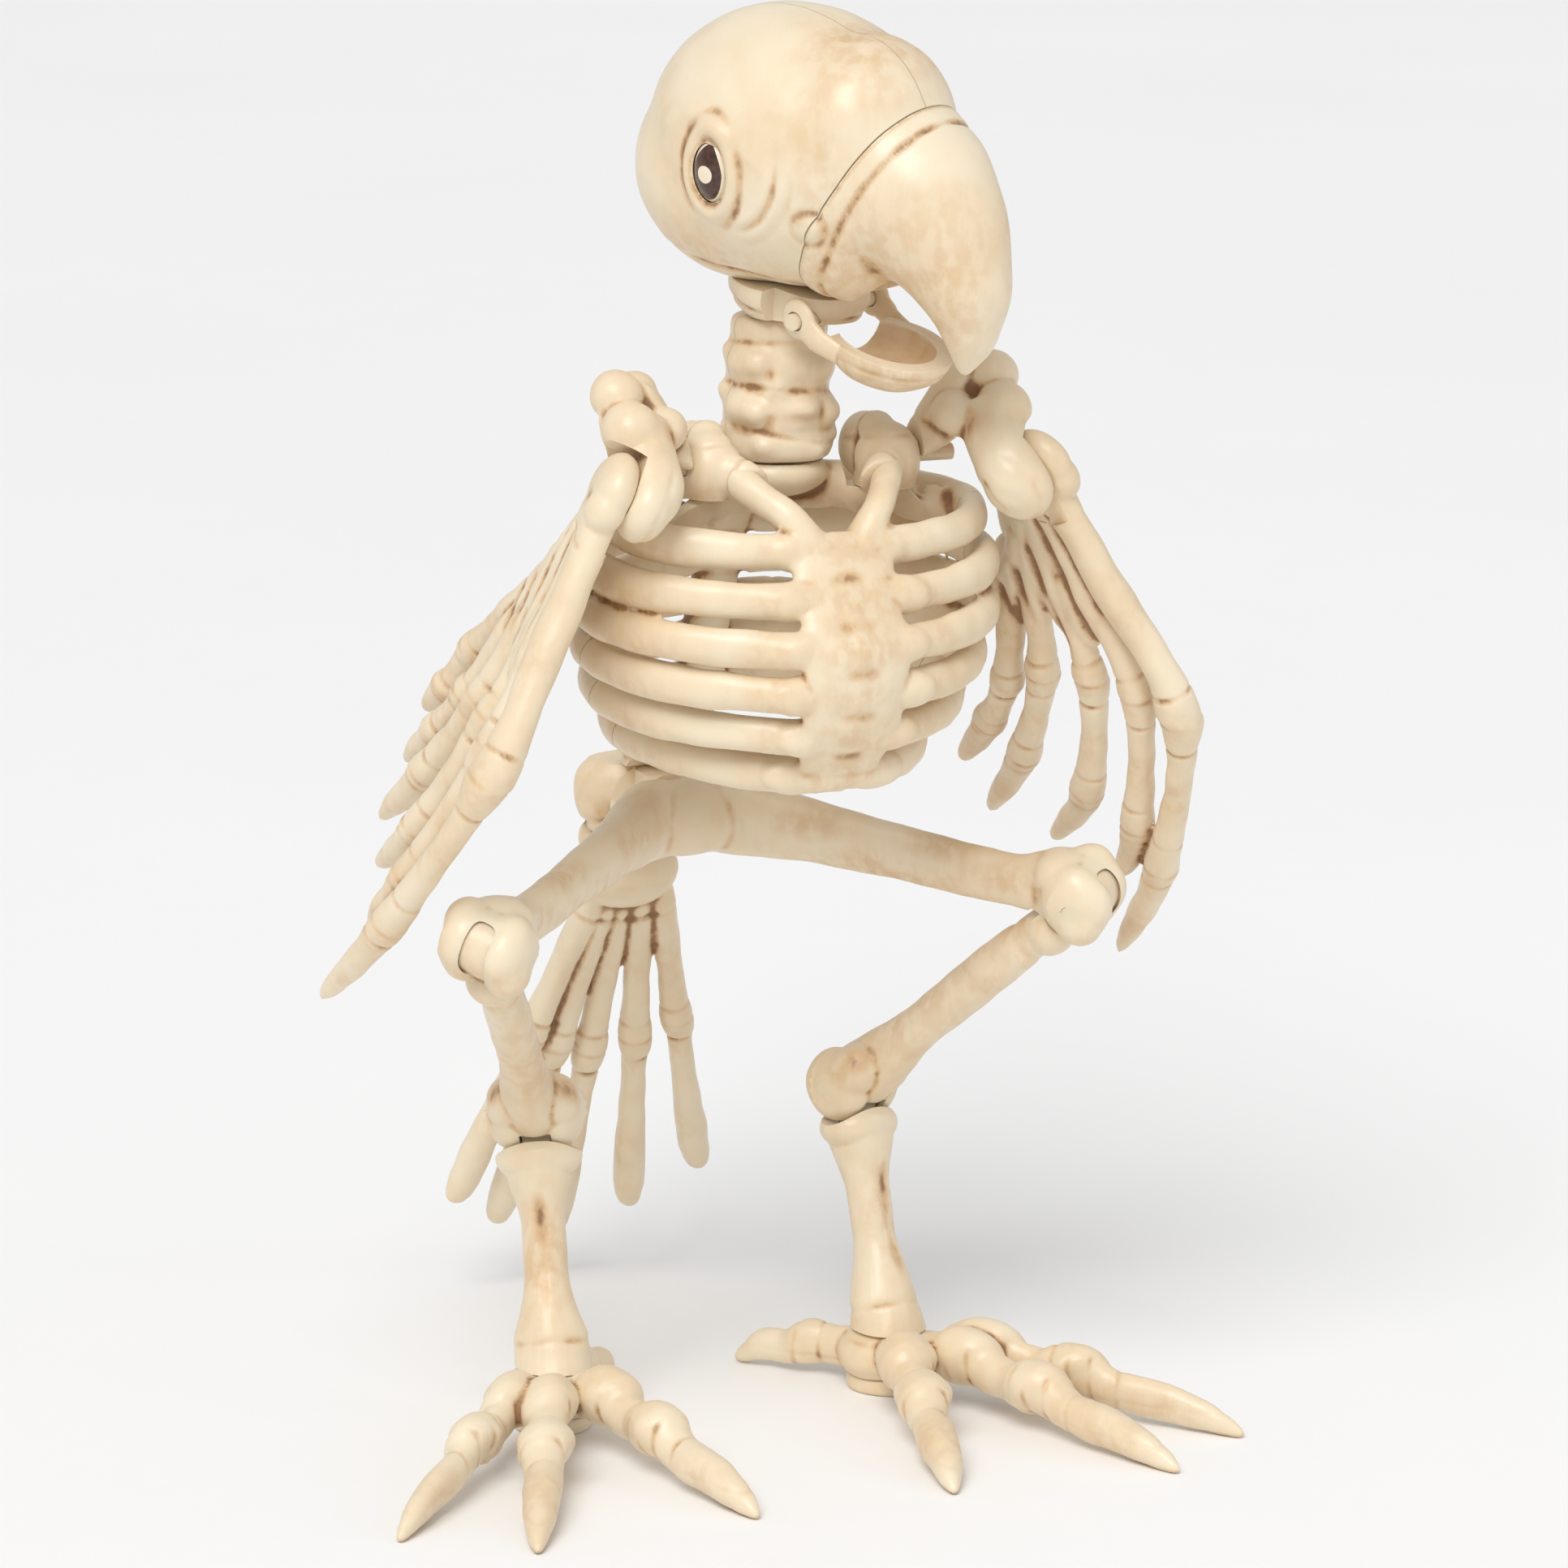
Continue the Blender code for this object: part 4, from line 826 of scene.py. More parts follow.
bm = bmesh.new()
tube(bm, [hip_axle + V((x, 0, 0)) for x in (-12.0, -10.5, 10.5, 12.0)], [6.2, 8.2, 8.2, 6.2], sides=48)
ball(bm, hip + V((0, -5, -0.5)), (15.0, 8.0, 7.6))
for s in (1, -1):
    k, a = side(knee, s), side(knee_axis, s)
    bone(bm, [hip + V((s * 7, -5, 0)), hip.lerp(k, 0.38) + V((0, 0, 1)), hip.lerp(k, 0.7), k - down_shaft(s) * 13, k],
         [8.4, BONE_R * 1.16, BONE_R * 1.04, 5.2, 6.8])
    tube(bm, [k + a * -4.0, k + a * 4.0], [7.0, 7.0], sides=48)
    for t in (-4.2, 4.2):
        ball(bm, k + a * t, (7.2, 7.2, 4.8), facing(a))
        ball(bm, k + a * (t * 1.12) + V((0, 0, 3.3)), (4.7, 4.7, 4.2), facing(a))
        ball(bm, k + a * (t * 1.05) + V((0, 0, -3.3)) + down_shaft(s) * 0.6, (4.8, 4.8, 4.3), facing(a))
    ball(bm, k - down_shaft(s) * 5 + V((0, 0, 3.4)), (6.2, 6.2, 4.6))
thigh = Blank(bm, 0.5, 7)
thigh.melt(14)
for s in (1, -1):
    k, a, down = side(knee, s), side(knee_axis, s), down_shaft(s)
    thigh.groove(k - down * 9.0, down, 0.8, 0.35, 9, 0.5)
    thigh.swell(k - down * 10 + V((0, 0, 4.5)), (3.4, 3.4, 3), 0.8)
    for t in (-4.9, 4.9):
        thigh.swell(k + a * t - down * 5.5 + V((0, 0, 5)), (3.0, 3.0, 2.6), 0.6)
    thigh.swell(hip.lerp(k, 0.55) + V((0, 0, -5)), (9, 9, 2.5), -0.45, stain_and_shade=0.8)
    thigh.rub(hip.lerp(k, 0.5) + V((0, 0, -5)), (22, 16, 4), 1.0)
    for t, z in ((0.3, 3), (0.45, -2), (0.62, 4), (0.78, 0)):
        thigh.rub(hip.lerp(k, t) + V((0, -5, z)), (8, 7, 3), 0.7)
    thigh.rub(k + V((0, 0, -6)), (9, 9, 4), 0.6)
    thigh.swell(hip + V((s * 10, -8, 5)), (4, 4, 3), 0.7)
    thigh.rub(hip + V((s * 14, -8, 0)), (8, 8, 8), 0.5)
cuts = [block(hip_axle + V((0, 3.4, 0)), (3.6 + GAP, 10, 30)), bore(hip_axle, (1, 0, 0), 11.75)]
for s in (1, -1):
    k, a = side(knee, s), side(knee_axis, s)
    cuts += slot(k, a, [side(about(knee_axis, q, tibia_in), s) for q in (4, -8, -22)], 6.6, KNEE_TONGUE + GAP, 4.2)
    cuts.append(bore(k, a, 8.6))
cast('thigh_yoke', thigh, 'femur_yoke', 'thighs', cuts)

# %% [markdown]
# A shin ends in a flat disc on a short neck, which swings in the slot of the knee. The same
# tongue tops the shank at the ankle, so one function makes both from a pivot and an axis.

# %% Shins
tarsus_in = (foot_top - ankle).normalized()


def tongue(at, axis, along, clear, radius, half, middle, reach):
    """Clear the bone round a pivot, then add the disc and neck that swing in the pocket."""
    return [disc(at, axis, clear, 30), (disc(at, axis, radius, half, 0.2),),
            (block(at + along * middle, (reach, half - 0.1, half - 0.04), facing(axis, along), 0.2),),
            bore(at, axis, 12)]


def shin():
    bm = bmesh.new()
    bone(bm, [knee + tibia_in * 2, knee + tibia_in * 11, knee.lerp(ankle, 0.36), knee.lerp(ankle, 0.70),
              ankle - tibia_in * 6, ankle + tibia_in * 2], [3.2, 4.0, TIBIA_R * 1.04, TIBIA_R, 6.6, 7.0])
    ball(bm, knee + tibia_in * 12.6 + shaft * 1.8, (5.0, 4.9, 5.0), facing(tibia_in, knee_axis))
    tube(bm, [ankle + ankle_axis * -4, ankle + ankle_axis * 4], [6.9, 6.9], sides=48)
    for t in (-4.2, 4.2):
        ball(bm, ankle + ankle_axis * t, (7.3, 7.3, 5.0), facing(ankle_axis))
        ball(bm, ankle + ankle_axis * t - tibia_in * 5, (5.2, 5.2, 6.5), facing(tibia_in))
    b = Blank(bm, 0.48, 6)
    b.groove(knee + tibia_in * 17, tibia_in, 0.8, 0.25, 9, 0.35)
    for t in (-1, 1):
        b.swell(ankle + ankle_axis * t * 9.2, (2.6, 2.6, 2.6), 0.45)
        b.swell(ankle + ankle_axis * t * 8.4 - tibia_in * 4.6, (2.2, 2.2, 1.8), -0.5, stain_and_shade=0.6)
        b.swell(ankle + ankle_axis * t * 7 - tibia_in * 8, (2.2, 2.2, 3.6), -0.6, facing(tibia_in), paint=0.7)
    under = ankle_axis.cross(tibia_in).normalized()
    for t in (0.25, 0.42, 0.6, 0.75):
        b.rub(knee.lerp(ankle, t) + under * 3.5, (7, 9, 7), 0.9)
    b.swell(knee.lerp(ankle, 0.5) + ankle_axis * 4.5, (2, 2, 9), -0.4, facing(tibia_in), paint=0.3)
    swings = [about(ankle_axis, q, tarsus_in) for q in (-16, 0, 16)]
    return b, (tongue(knee, knee_axis, tibia_in, 8.6, 6.0, KNEE_TONGUE, 6.5, 5)
               + slot(ankle, ankle_axis, swings, 6.2, ANKLE_TONGUE + GAP, 3.9) + [bore(ankle, ankle_axis, 8.75)])


twins('shin_bone', 'tibia', 'shin', shin)


# %% Shanks
def shank():
    bm = bmesh.new()
    bone(bm, [ankle + tarsus_in * t for t in (7, 12, 21, 31)] + [foot_top + tarsus_in * t for t in (-6, 3)],
         [7.2, 6.4, TARSUS_R * 1.12, TARSUS_R * 1.08, 6.6, 7.8])
    ball(bm, ankle + tarsus_in * 8.6, (8.6, 7.0, 5.0), facing(tarsus_in, ankle_axis))
    b = Blank(bm, 0.45, 5)
    b.groove(foot_top - tarsus_in * 4.5, tarsus_in, 0.6, 0.30, 12, 0.5)
    for s in (1, -1):
        b.swell(foot_top - tarsus_in * 5 + ankle_axis * s * 6, (3, 3, 3), 0.7)
    fore = tarsus_in.cross(ankle_axis).normalized()
    for s in (1, -1):
        b.swell(ankle + tarsus_in * 19 + fore * s * 4.0, (1.2, 1.2, 7), -0.7, facing(tarsus_in), paint=0.9)
        b.swell(foot_top - tarsus_in * 12 + fore * s * 4.2, (1.3, 1.3, 5), -0.5, facing(tarsus_in), paint=0.7)
        b.rub(ankle.lerp(foot_top, 0.55) + fore * s * 4, (5, 5, 12), 0.75)
    return b, (tongue(ankle, ankle_axis, tarsus_in, 7.9, 5.7, ANKLE_TONGUE, 7, 6)
               + [beyond(foot_top + V((0, 0, GAP)), (0, 0, 1))])


twins('shank_bone', 'tarsus', 'shank', shank)

# %% [markdown]
# A foot has three long front toes and a short hind toe. Each toe has two ringed knuckles and
# ends in a long smooth claw, and the mould's parting line runs along its sides.

# %% Feet
foot_c = V((FOOT_X, FOOT_Y, 0))
REACH = (0.0, 0.10, 0.20, 0.26, 0.31, 0.36, 0.44, 0.50, 0.545, 0.59, 0.64, 0.72, 0.80, 0.88, 0.94, 0.98, 1.0)
RISE = (7.5, 8.2, 9.8, 10.9, 10.6, 9.2, 8.4, 8.9, 8.7, 7.3, 6.2, 5.5, 4.8, 3.6, 2.3, 1.3, 0.8)
TOE_CREASES = ((0.215, 0.28), (0.265, 0.20), (0.325, 0.34), (0.48, 0.26), (0.53, 0.18), (0.585, 0.34), (0.66, 0.15))
PLUMP = (1.2, 1.0, 1.12, 1.42, 1.38, 1.02, 0.94, 1.28, 1.32, 1.02, 0.90, 0.98, 0.92, 0.76, 0.54, 0.30, 0.14)


def toe_dir(turn):
    return V((math.sin(math.radians(turn)), -math.cos(math.radians(turn)), 0))


def foot():
    bm = bmesh.new()
    ball(bm, foot_c + V((0, 0, 7.0)), (9.9, 9.9, 6.4))
    for length, turn in zip(TOE_LEN, TOE_TURN):
        bone(bm, [foot_c + toe_dir(turn) * (length * r) + V((0, 0, z)) for r, z in zip(REACH, RISE)],
             [TOE_R * f for f in PLUMP], steps=3)
    hind = V((-0.66, 0.75, 0)).normalized()
    bone(bm, [foot_c + hind * (HIND_LEN * r) + V((0, 0, z)) for r, z in
              ((0, 7.0), (0.34, 6.8), (0.5, 6.6), (0.64, 5.0), (0.8, 4.6), (0.93, 2.2), (1.0, 0.9))],
         [TOE_R * f for f in (1.2, 0.95, 1.12, 0.84, 0.8, 0.46, 0.16)], steps=3)
    b = Blank(bm, 0.5, 6)
    for length, turn in zip(TOE_LEN, TOE_TURN):
        d = toe_dir(turn)
        across = V((-d.y, d.x, 0))
        for r, z in ((0.28, 10.8), (0.52, 8.8)):
            for s in (1, -1):
                knob = foot_c + d * (length * (r + 0.015 * s)) + across * (s * 3.8)
                b.swell(knob + V((0, 0, z + 1.2)), (2, 2, 2), 0.8)
        for r, deep in TOE_CREASES:
            z = float(np.interp(r, REACH, RISE))
            b.groove(foot_c + d * (length * r) + V((0, 0, z)), d, 0.42, deep, 5.8, 0.85)
        for r in (0.3, 0.52, 0.8):
            b.rub(foot_c + d * (length * r) + V((0, 0, 4)), (6, 6, 4), 0.65)
    for r, z in ((0.42, 6.7), (0.58, 5.8)):
        b.groove(foot_c + hind * (HIND_LEN * r) + V((0, 0, z)), hind, 0.4, 0.3, 5.4, 0.85)
    b.groove(foot_c + V((0, 0, 4.6)), (0, 0, 1), 0.28, 0.16, 78, 0.45)
    b.groove(foot_c + V((0, 0, 10.4)), (0, 0, 1), 0.4, 0.25, 9.5, 0.6)
    # Painted shade: brown along the bottom of the foot, where it meets the floor.
    b.wash_and_shade = np.maximum(b.wash_and_shade, 0.55 * (1 - ease(0.2, 1.6, b.co[:, 2])))
    return b, [block(foot_c + V((0, 0, SOLE_Z + 8)), (9.8, 9.8, 8)), beyond((0, 0, 0.15), (0, 0, 1)),
               disc(foot_c, (0, 0, 1), PAD_R + GAP, PAD_TALL + GAP)]


twins('foot_bones', 'foot_upper', 'shank', foot)


# %% [markdown]
# A plain round pad closes each foot from below and gives it a flat face to stand on.

# %% Foot pads
def foot_pad():
    bm = bmesh.new()
    rings = ((0.0, 7.2), (0.25, 7.7), (0.8, PAD_R), (3.0, PAD_R), (PAD_TALL, 7.6))
    tube(bm, [foot_c + V((0, 0, z)) for z, r in rings], [r for z, r in rings], sides=64)
    return Blank(bm, 0.5, 2), []


twins('foot_pad', 'foot_sole', 'shank', foot_pad)

# %% [markdown]
# Each wing is posed on its own. The upper wing is a short lobed block that turns on the
# shoulder pin. The lower wing is one moulding: a round hub, a thick leading bone with five
# thinner ones beside it, and a knuckle two thirds of the way down every finger.

# %% Wings
hum0 = shoulder + V((4.0 + GAP, 0, 0))
FEATHERS = (
    ((0, 0), (-6, 28), (-10.8, 56), (11, 93.5), (33.6, 118)),
    ((3, 6), (1, 30), (-1.5, 52), (13, 84), (24, 98)),
    ((6, 8), (9, 30), (9, 49), (23, 77), (39, 91)),
    ((9, 12), (16, 32), (22, 49), (37, 70), (54, 86)),
    ((12, 16), (24, 36), (33, 52), (43, 63), (56, 74)),
    ((14, 20), (30, 34), (43.5, 46), (51, 56), (60, 64)))
FAT = (1.0, 1.0, 0.95, 0.95, 1.05, 1.0, 0.92, 1.02, 1.25, 0.95, 0.88, 1.0, 1.22, 0.95, 0.9, 0.7, 0.34)


def upper_wing(wn, boss):
    bm = bmesh.new()
    bone(bm, [hum0 + V(at) for at in ((-2, 0, 0), (3, 0, 3), (8, -1, 10), (13, -5, 11))], [5.2, 5.2, 5.6, 6.2])
    for at, r in (((9.0, 2, 14), 4.4), ((14.5, -3, 14.5), 5.0), ((6.0, -5, 8), 4.6), ((14.0, -9, 9.0), 5.6)):
        ball(bm, hum0 + V(at), (r, r, r * 0.95))
    bone(bm, [hum0 + V((12, -6, 9)), boss - wn * 5.0 + V((0, 1, 3)), boss - wn * 2.5], [6.0, 6.4, 6.6])
    ball(bm, boss - wn * 3.6, (7.4, 7.4, 5.2), facing(wn))
    ball(bm, boss - wn * 3.0 + V((0, 4, 3)), (4.6, 4.6, 4.6))
    b = Blank(bm, 0.45, 5)
    b.melt(8)
    b.groove(hum0 + V((11.5, -1, 15)), V((0.8, -0.5, -0.1)), 0.6, 0.6, 6.5, 0.95)
    b.groove(boss - wn * 5.4, wn, 0.6, 0.25, 9, 0.4)
    b.groove(hum0 + V((4.5, 0, 4)), V((0.6, -0.1, 0.8)), 0.5, 0.35, 8, 0.7)
    b.swell(hum0 + V((10, -9, 6)), (2.4, 2.4, 2.4), -0.6, paint=0.7)
    b.rub(hum0 + V((10, -4, 5)), (10, 8, 5), 0.7)
    return b


def lower_wing(ws, wd, wn):
    turn = Matrix((ws, wd, wn)).transposed().to_4x4()
    bm = bmesh.new()
    ball(bm, elbow + wn * 0.2, (7.4, 7.4, 4.3), facing(wn))
    ball(bm, elbow + wd * 4.5 + wn * 0.4, (5.6, 6.0, 4.0), turn)
    ball(bm, elbow - ws * 3.0 + wd * 3.0 + wn * 0.6, (4.6, 4.6, 3.9), turn)
    paths = []
    for i, f in enumerate(FEATHERS):
        path = curve([elbow + ws * p + wd * q for p, q in f], 10)
        steps = np.linspace(0, 1, len(path))
        fat = np.interp(steps, np.linspace(0, 1, len(FAT)), FAT)
        if i == 0:
            fat = fat * (1 + 0.3 * (1 - ease(0.48, 0.58, steps)))
        fat = fat * np.sqrt(np.clip(1 - ((steps - 0.965) / 0.036).clip(0, 1) ** 2, 0.02, 1))
        tube(bm, path, list(FEATHER_R * fat))
        paths.append(path)
    for p, q, rs, rd in ((8, 16, 9, 12), (14, 25, 9, 9), (6, 32, 7, 10)):
        ball(bm, elbow + ws * p + wd * q, (rs, rd, 2.4), turn)
    b = Blank(bm, 0.5, 5)
    for i, path in enumerate(paths):
        for t, deep in ((0.455, 0.34), (0.50, 0.22), (0.55, 0.40), (0.71, 0.30), (0.75, 0.20), (0.79, 0.36)):
            k = int(t * (len(path) - 1))
            b.groove(path[k], path[k + 1] - path[k - 1], 0.42, deep, 4.8, 0.95)
        for t in (0.3, 0.52, 0.64, 0.78, 0.9):
            b.rub(path[int(t * (len(path) - 1))], (5, 5, 5), 0.55)
    for p, q in ((3.5, 20), (9.5, 25), (15.5, 28), (21, 31), (3, 34), (9.5, 37)):
        for n in (-1, 1):
            b.swell(elbow + ws * p + wd * q + wn * n * 2.2, (1.1, 6.5, 2.0), -0.7, turn, paint=0.9)
    b.groove(elbow + wd * 9.5 + ws * 2, wd + ws * 0.3, 0.6, 0.35, 8, 0.5)
    b.swell(elbow + wd * 2 + wn * 4.2, (2.4, 3.4, 2), -0.4, turn, paint=0.3)
    return b


for tag, s in (('left', 1), ('right', -1)):
    ws, wd = (V(v).normalized() for v in WING_POSE[tag])
    wd = (wd - ws * wd.dot(ws)).normalized()
    wn = -(ws.cross(wd)).normalized()
    hub_face = elbow - wn * ELBOW_HUB
    boss = elbow - wn * (ELBOW_HUB + GAP)
    cast('upper_wing_block_' + tag, upper_wing(wn, boss), 'humerus_' + tag, 'upper_wing_' + tag,
         [beyond(hum0, (1, 0, 0)), disc(boss + wn * 8, wn, 8.5, 8.0),
          block(boss + wd * 14 + wn * 8, (11, 9.5, 8.0), facing(wn, wd), 0.7),
          bore(shoulder + V((4.6, 0, 0)), (1, 0, 0), 7.7), bore(hub_face, wn, 4.0)], mirror=s < 0)
    cast('wing_bones_' + tag, lower_wing(ws, wd, wn), 'wing_fan_' + tag, 'wing_' + tag,
         [disc(elbow - wn * (ELBOW_HUB + 10), wn, 11.5, 10.0), bore(hub_face, wn, 5.6)], mirror=s < 0)

# %% [markdown]
# The head is carved in its own upright axes and turned at the end. The skull is two halves that
# meet on the midline, with the beak sheath in front behind a raised band, folds round the
# eye, a coiled nostril, and a scooped lower jaw.

# %% Skull
AT_HEAD, INTO_HEAD = PLACE @ HEAD, HEAD.inverted()
face_at, face_n = V((0, -25.0, 32.5)), V((0, 0.90, 0.43)).normalized()
EYE_AT = V((21.2, -2.5, 33.5))


def muzzle(bm):
    ball(bm, (0, -18, 13 + SKULL_H), (SKULL_W * 0.76, 17.0, SKULL_H * 0.76))
    ball(bm, (0, -20, 6 + SKULL_H * 0.6), (SKULL_W * 0.66, 12.5, SKULL_H * 0.5))


def almond(y, z):
    """0 at the middle of the eye, 1 on its painted edge; the top is drawn to a point."""
    up = (z - EYE_AT.z) / 5.4
    half = 3.5 * (1 - 0.30 * np.clip(up, 0, 1) ** 1.5)
    return np.sqrt(((y - EYE_AT.y) / half) ** 2 + up ** 2)


def carve_face(b):
    """Folds round the eye, the sweep of ridges before it, and the nostril."""
    x, y, z = b.co.T
    flank = ease(8, 13, np.abs(x)) * (np.abs(y - EYE_AT.y) < 24)
    e = almond(y, z)
    fold = np.hypot((y - EYE_AT.y) / 3.6, (z - EYE_AT.z) / 5.4)
    live = 0.55 + 0.45 * drift(b.co, 4.0)
    b.push(-flank * 0.30 * np.exp(-((e - 1.14) / 0.12) ** 2), 0.45)
    b.push(flank * 0.80 * np.exp(-((fold - 1.50) / 0.30) ** 2))
    b.push(-flank * live * 0.40 * np.exp(-((fold - 2.05) / 0.20) ** 2), 0.30)
    brow = np.hypot(y - EYE_AT.y - 3, z - EYE_AT.z + 6)
    b.push(flank * 0.55 * np.exp(-((brow - 15.5) / 1.5) ** 2) * ease(2, 6, z - EYE_AT.z))
    dy, dz = y - EYE_AT.y + 1.0, z - EYE_AT.z - 1.0
    r, turn = np.hypot(dy, dz), np.arctan2(dz, -dy)
    lane = ease(-1.5, -0.8, turn) * (1 - ease(0.2, 0.8, turn))
    for radius, high in ((11.5, 0.45), (14.6, 0.42)):
        b.push(flank * lane * live * high * np.exp(-((r - radius - 0.8 * turn) / 1.1) ** 2))
        b.push(-flank * lane * live * 0.4 * high * np.exp(-((r - radius - 1.6 - 0.8 * turn) / 0.7) ** 2), 0.16)
    for s in (1, -1):
        at = np.array((s * 16.0, -21.0, 27.0))
        near = np.linalg.norm(b.co - at, axis=1)
        b.push(1.3 * np.exp(-(near / 3.2) ** 2))
        b.push(-0.45 * live * np.exp(-((near - 4.0) / 0.8) ** 2), 0.30)
        b.push(-0.6 * np.exp(-(np.linalg.norm(b.co - at - (0, 1.0, 0.8), axis=1) / 1.1) ** 2), 0.40)


BEAK = ((0, -22, 30), (0, -31, 31), (0, -38.5, 26), (0, -44.5, 17.5), (0, -46.5, 9), (0, -45.5, 0.5))


def head_mass():
    """Skull and beak as one form, so that the skin runs on smoothly over the seam."""
    bm = bmesh.new()
    bone(bm, BEAK, [18.5, 17.0, 13.5, 9.6, 5.8, 1.6], flat=0.92, sides=56)
    ball(bm, (0, -3, 8 + SKULL_H), (SKULL_W, SKULL_L, SKULL_H))
    ball(bm, (0, 6, 6 + SKULL_H * 0.82), (SKULL_W * 0.93, SKULL_L * 0.80, SKULL_H * 0.82))
    muzzle(bm)
    for s in (1, -1):
        ball(bm, (s * 19.2, -3.5, 42), (5.0, 9.5, 3.6))
        ball(bm, (s * 18.6, 0, 24), (4.6, 9.0, 3.2))
    b = Blank(bm, 0.55, 8)
    b.melt(45)
    carve_face(b)
    return b


def skull():
    b = head_mass()
    for k, (y, z) in enumerate(((-22, 54), (-17, 57), (-25, 50))):
        b.rub((0, y, z), (13 - 2 * k, 6, 6), 0.9)
    for s in (1, -1):
        b.rub((s * 15, -22, 36), (6, 5, 9), 0.7)
        b.rub((s * 15, 2, 14), (14, 20, 5), 0.5)
    b.groove((0, 0, 12.2), (0, -0.06, 1), 0.5, 0.4, 60, 0.75)
    return b


def ellipsoid(at, radii, wash_and_shade=0.6):
    bm = bmesh.new()
    ball(bm, at, radii)
    return solid(bm, wash_and_shade)


SOCKET = (4.7, 5.0, 6.7)
for s, tag in ((1, 'left'), (-1, 'right')):
    cast('skull_half_' + tag, skull(), 'skull_' + tag, 'head',
         [beyond((0, 0, 9), (0, 0, 1)), beyond(face_at, face_n), ellipsoid(side(EYE_AT, s), SOCKET, 0.9),
          beyond((s * GAP * 0.5, 0, 0), (s, 0, 0)), ellipsoid((0, -2.5, 8 + SKULL_H), (15, 22, 20))], place=AT_HEAD)

# %% [markdown]
# Each eye is a fine ball set in its socket. Its paint follows the almond outline that the
# carved lid follows too, so the two always agree.

# %% Eyes
for s, tag in ((1, 'left'), (-1, 'right')):
    bm = bmesh.new()
    bmesh.ops.create_uvsphere(bm, u_segments=150, v_segments=100, radius=1.0, matrix=shaped(
        side(EYE_AT, s), (4.3, 4.72, 6.42)) @ Matrix.Rotation(math.pi / 2, 4, 'Y'))
    mesh = poured(bm, 'eye')
    co = np.empty(len(mesh.vertices) * 3)
    mesh.vertices.foreach_get('co', co)
    x, y, z = co.reshape(-1, 3).T
    ring = 1 - ease(0.93, 1.0, almond(y, z))
    pupil = 1 - ease(1.55, 1.75, np.hypot(y - EYE_AT.y + 0.2, z - EYE_AT.z + 0.1))
    paint = ring * (1 - pupil) * (x * s > EYE_AT.x)
    store(mesh, 'paint', paint)
    mesh.transform(AT_HEAD)
    hand_over(stand('painted_eye_' + tag, mesh), 'eye_' + tag, 'head', EYE)

# %% [markdown]
# Below the skull a plate holds the neck peg and the jaw's pin. Skull and beak are cut from the
# same carved form, so the skin runs on over the seam; only the raised band belongs to the beak
# alone. The lower jaw is a scoop with two flat arms that reach back to the pin.

# %% Skull base
neck_here, up_here = INTO_HEAD @ (neck_top + V((0, 0, GAP))), INTO_HEAD.to_3x3() @ V((0, 0, 1))
JAW_AT = V((0, -14, 5))
bm = bmesh.new()
ball(bm, (0, -3, 7.0), (12.5, 12.0, 8.0))
ball(bm, (0, -11, 7.0), (8.8, 8.5, 6.5))
base = Blank(bm, 0.48, 5)
base.groove((0, 0, 4.2), (0, 0, 1), 0.5, 0.4, 30, 0.8)
for s in (1, -1):
    base.swell((s * 10, 2, 5), (2.5, 4, 2.5), -0.6, paint=0.6)
cast('skull_base_plate', base, 'skull_base', 'head',
     [beyond((0, 0, 9 - GAP), (0, 0, -1)), beyond(neck_here, up_here)]
     + [block((s * 18.5, -14, 5), (10, 8, 20)) for s in (1, -1)]
     + [disc(INTO_HEAD @ neck_top, up_here, PEG_HOLE_R, 6.0), bore(JAW_AT, (1, 0, 0), 30)], place=AT_HEAD)

# %% Upper beak
beak = head_mass()
d = (beak.co - np.array(face_at)) @ np.array(face_n)
beak.push(0.40 * ease(-4.6, -3.4, d) * (1 - ease(-1.2, -0.4, d)))
beak.groove(face_at - face_n * 4.4, face_n, 0.55, 0.40, 60, 0.45)
x, y, z = beak.co.T
culmen = np.exp(-(x / 4.5) ** 2) * ease(0.1, 0.6, beak.no[:, 2] - beak.no[:, 1] * 0.8)
beak.stain_and_shade = np.maximum(beak.stain_and_shade, (0.12 + 0.40 * (1 - ease(22, 42, z))) * (1 - 0.8 * culmen) * ease(3, 12, z))
beak.rub((0, -26, 48), (14, 6, 6), 0.8)
cast('beak_sheath', beak, 'upper_beak', 'head',
     [beyond(face_at - face_n * GAP, -face_n), ellipsoid((0, -31, 5.0), (10, 12.5, 13.0), 0.45)], place=AT_HEAD)

# %% Lower jaw
bm = bmesh.new()
ball(bm, (0, -27.5, 1.6), (10.4, 13.2, 8.0))
scoop = Blank(bm, 0.42, 5)
scoop.stain_and_shade = np.maximum(scoop.stain_and_shade, 0.6)
scoop.groove((0, -27.5, -0.2), (0, 0.12, -1), 0.45, 0.25, 30, 0.5)
cuts = [ellipsoid((0, -27.5, 5.2), (8.2, 11.0, 8.6), 0.35), beyond((0, -27.5, 2.2), (0, 0.12, -1))]
for s in (1, -1):
    bm = bmesh.new()
    ball(bm, (s * 10.15, JAW_AT.y, JAW_AT.z), (1.45, 3.9, 3.9))
    for a, b, r in (((10.15, -14.5, 4.6), (10.1, -18.5, 2.4), 2.9), ((10.1, -18.0, 2.4), (9.4, -23.5, 0.8), 2.4)):
        a, b = side(a, s), side(b, s)
        tube(bm, [a, (a + b) * 0.5, b], [r, r * 0.92, r * 0.85], flat=0.48, hint=(1, 0, 0))
    cuts.append((soft_tool(bm, 0.35),))
cast('jaw_scoop', scoop, 'mandible', 'jaw',
     cuts + [block((0, -11, 8), (8.5 + GAP, 9, 30)), bore(JAW_AT, (1, 0, 0), 30)], place=AT_HEAD)

# %% [markdown]
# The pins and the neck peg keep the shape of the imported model: they are plain turned parts.
# They only take the same aged plastic.

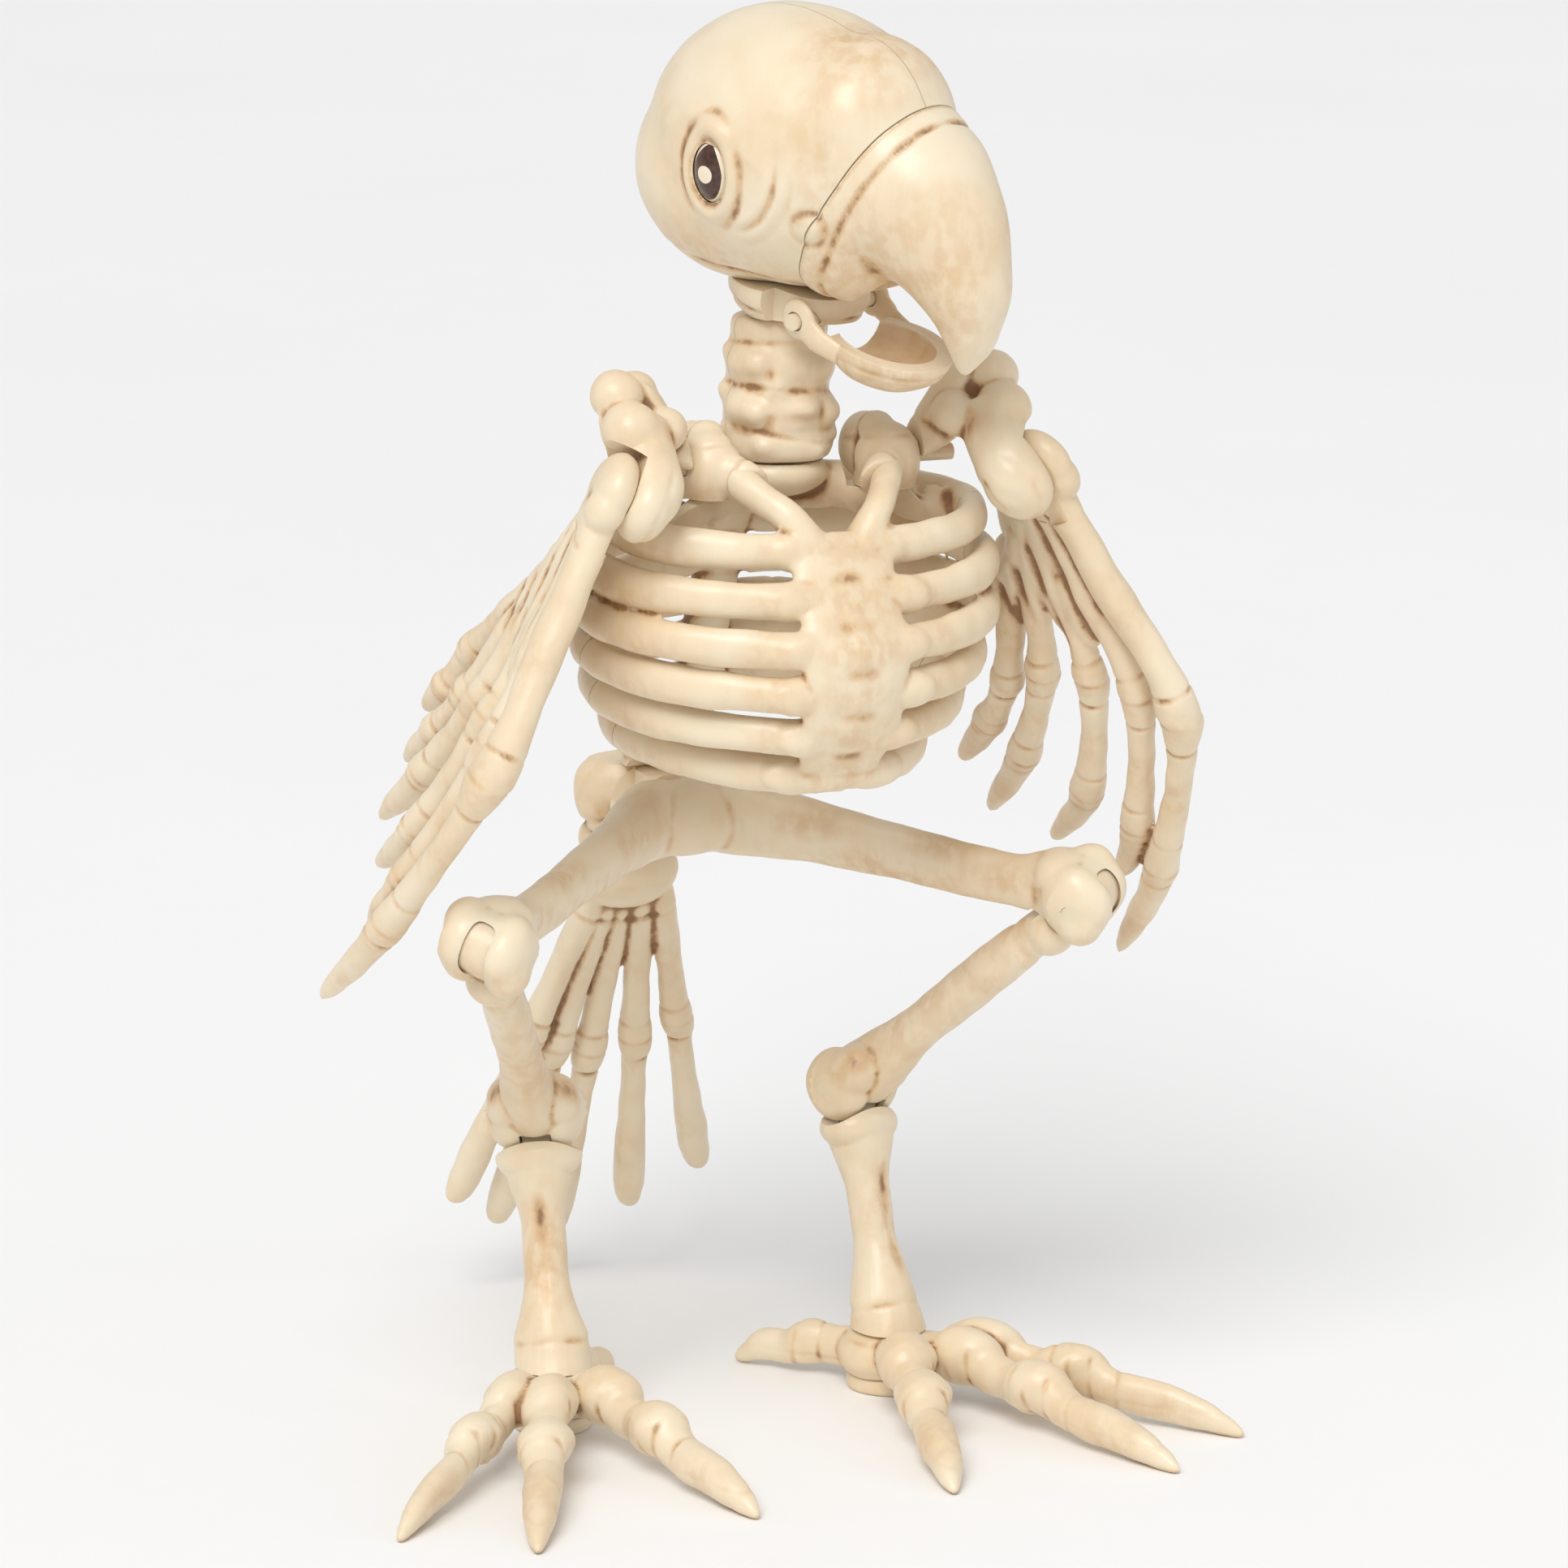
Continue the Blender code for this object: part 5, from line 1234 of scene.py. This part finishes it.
# %% Carried-over parts
for name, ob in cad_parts.items():
    ob.data.materials.clear()
    ob.data.materials.append(EYE if name.startswith('eye_') else IVORY)
print('plain nodes dressed, triangles made', TOTAL[0])

# %% [markdown]
# A pale floor, broad soft lamps and a long lens finish the set. The floor and the world are
# near white, so the bird stands in an even field with only a soft shadow at its feet.

# %% Floor
def pale_floor():
    material, b = new_material('pale_floor')
    where = b.node('ShaderNodeTexCoord', out='Object')
    b.surface(Base_Color=b.blend(b.noise(where, 3.0), (0.90, 0.90, 0.90, 1), (0.94, 0.94, 0.94, 1)),
              Roughness=0.6 + 0.1 * b.noise(where, 60.0))
    return material


bm = bmesh.new()
bmesh.ops.create_grid(bm, x_segments=8, y_segments=8, size=6.0)
floor = stand('floor', poured(bm, 'floor'))
floor.data.materials.append(pale_floor())

# %% Light
world = bpy.data.worlds.new('studio')
bpy.context.scene.world = world
world.use_nodes = True
world.node_tree.nodes['Background'].inputs['Color'].default_value = (1.0, 1.0, 1.0, 1)
world.node_tree.nodes['Background'].inputs['Strength'].default_value = 0.57
bpy.context.scene.view_settings.view_transform = 'Standard'
sun = stand('window', bpy.data.lights.new('window', 'SUN'))
sun.data.energy, sun.data.angle = 1.70, math.radians(35)
sun.rotation_euler = V((-0.55, -0.62, 0.95)).to_track_quat('Z', 'Y').to_euler()


def lamp(name, at, size, power, aim=V((0, 0, 0.13))):
    light = bpy.data.lights.new(name, 'AREA')
    light.shape, light.size, light.energy = 'DISK', size, power
    ob = stand(name, light)
    ob.location = at
    ob.rotation_euler = (V(at) - aim).to_track_quat('Z', 'Y').to_euler()


lamp('key', (-0.8, -1.3, 1.3), 0.5, 3.5)
lamp('fill', (1.3, -0.9, 0.7), 0.7, 1.5)

# %% Camera
camera = stand('camera', bpy.data.cameras.new('camera'))
camera.data.lens, camera.data.sensor_width, camera.data.clip_end = 155.0, 36.0, 50.0
aim = V((0.0148, -0.0013, 0.122))
turn, tilt = math.radians(23.3), math.radians(12.9)
level = math.cos(tilt)
camera.location = aim + 1.3088 * V((-math.sin(turn) * level, -math.cos(turn) * level, math.sin(tilt)))
look = (camera.location - aim).to_track_quat('Z', 'Y').to_matrix().to_4x4()
camera.rotation_euler = (look @ Matrix.Rotation(math.radians(0.9), 4, 'Z')).to_euler()
bpy.context.scene.camera = camera
print('camera at', [round(c, 3) for c in camera.location])
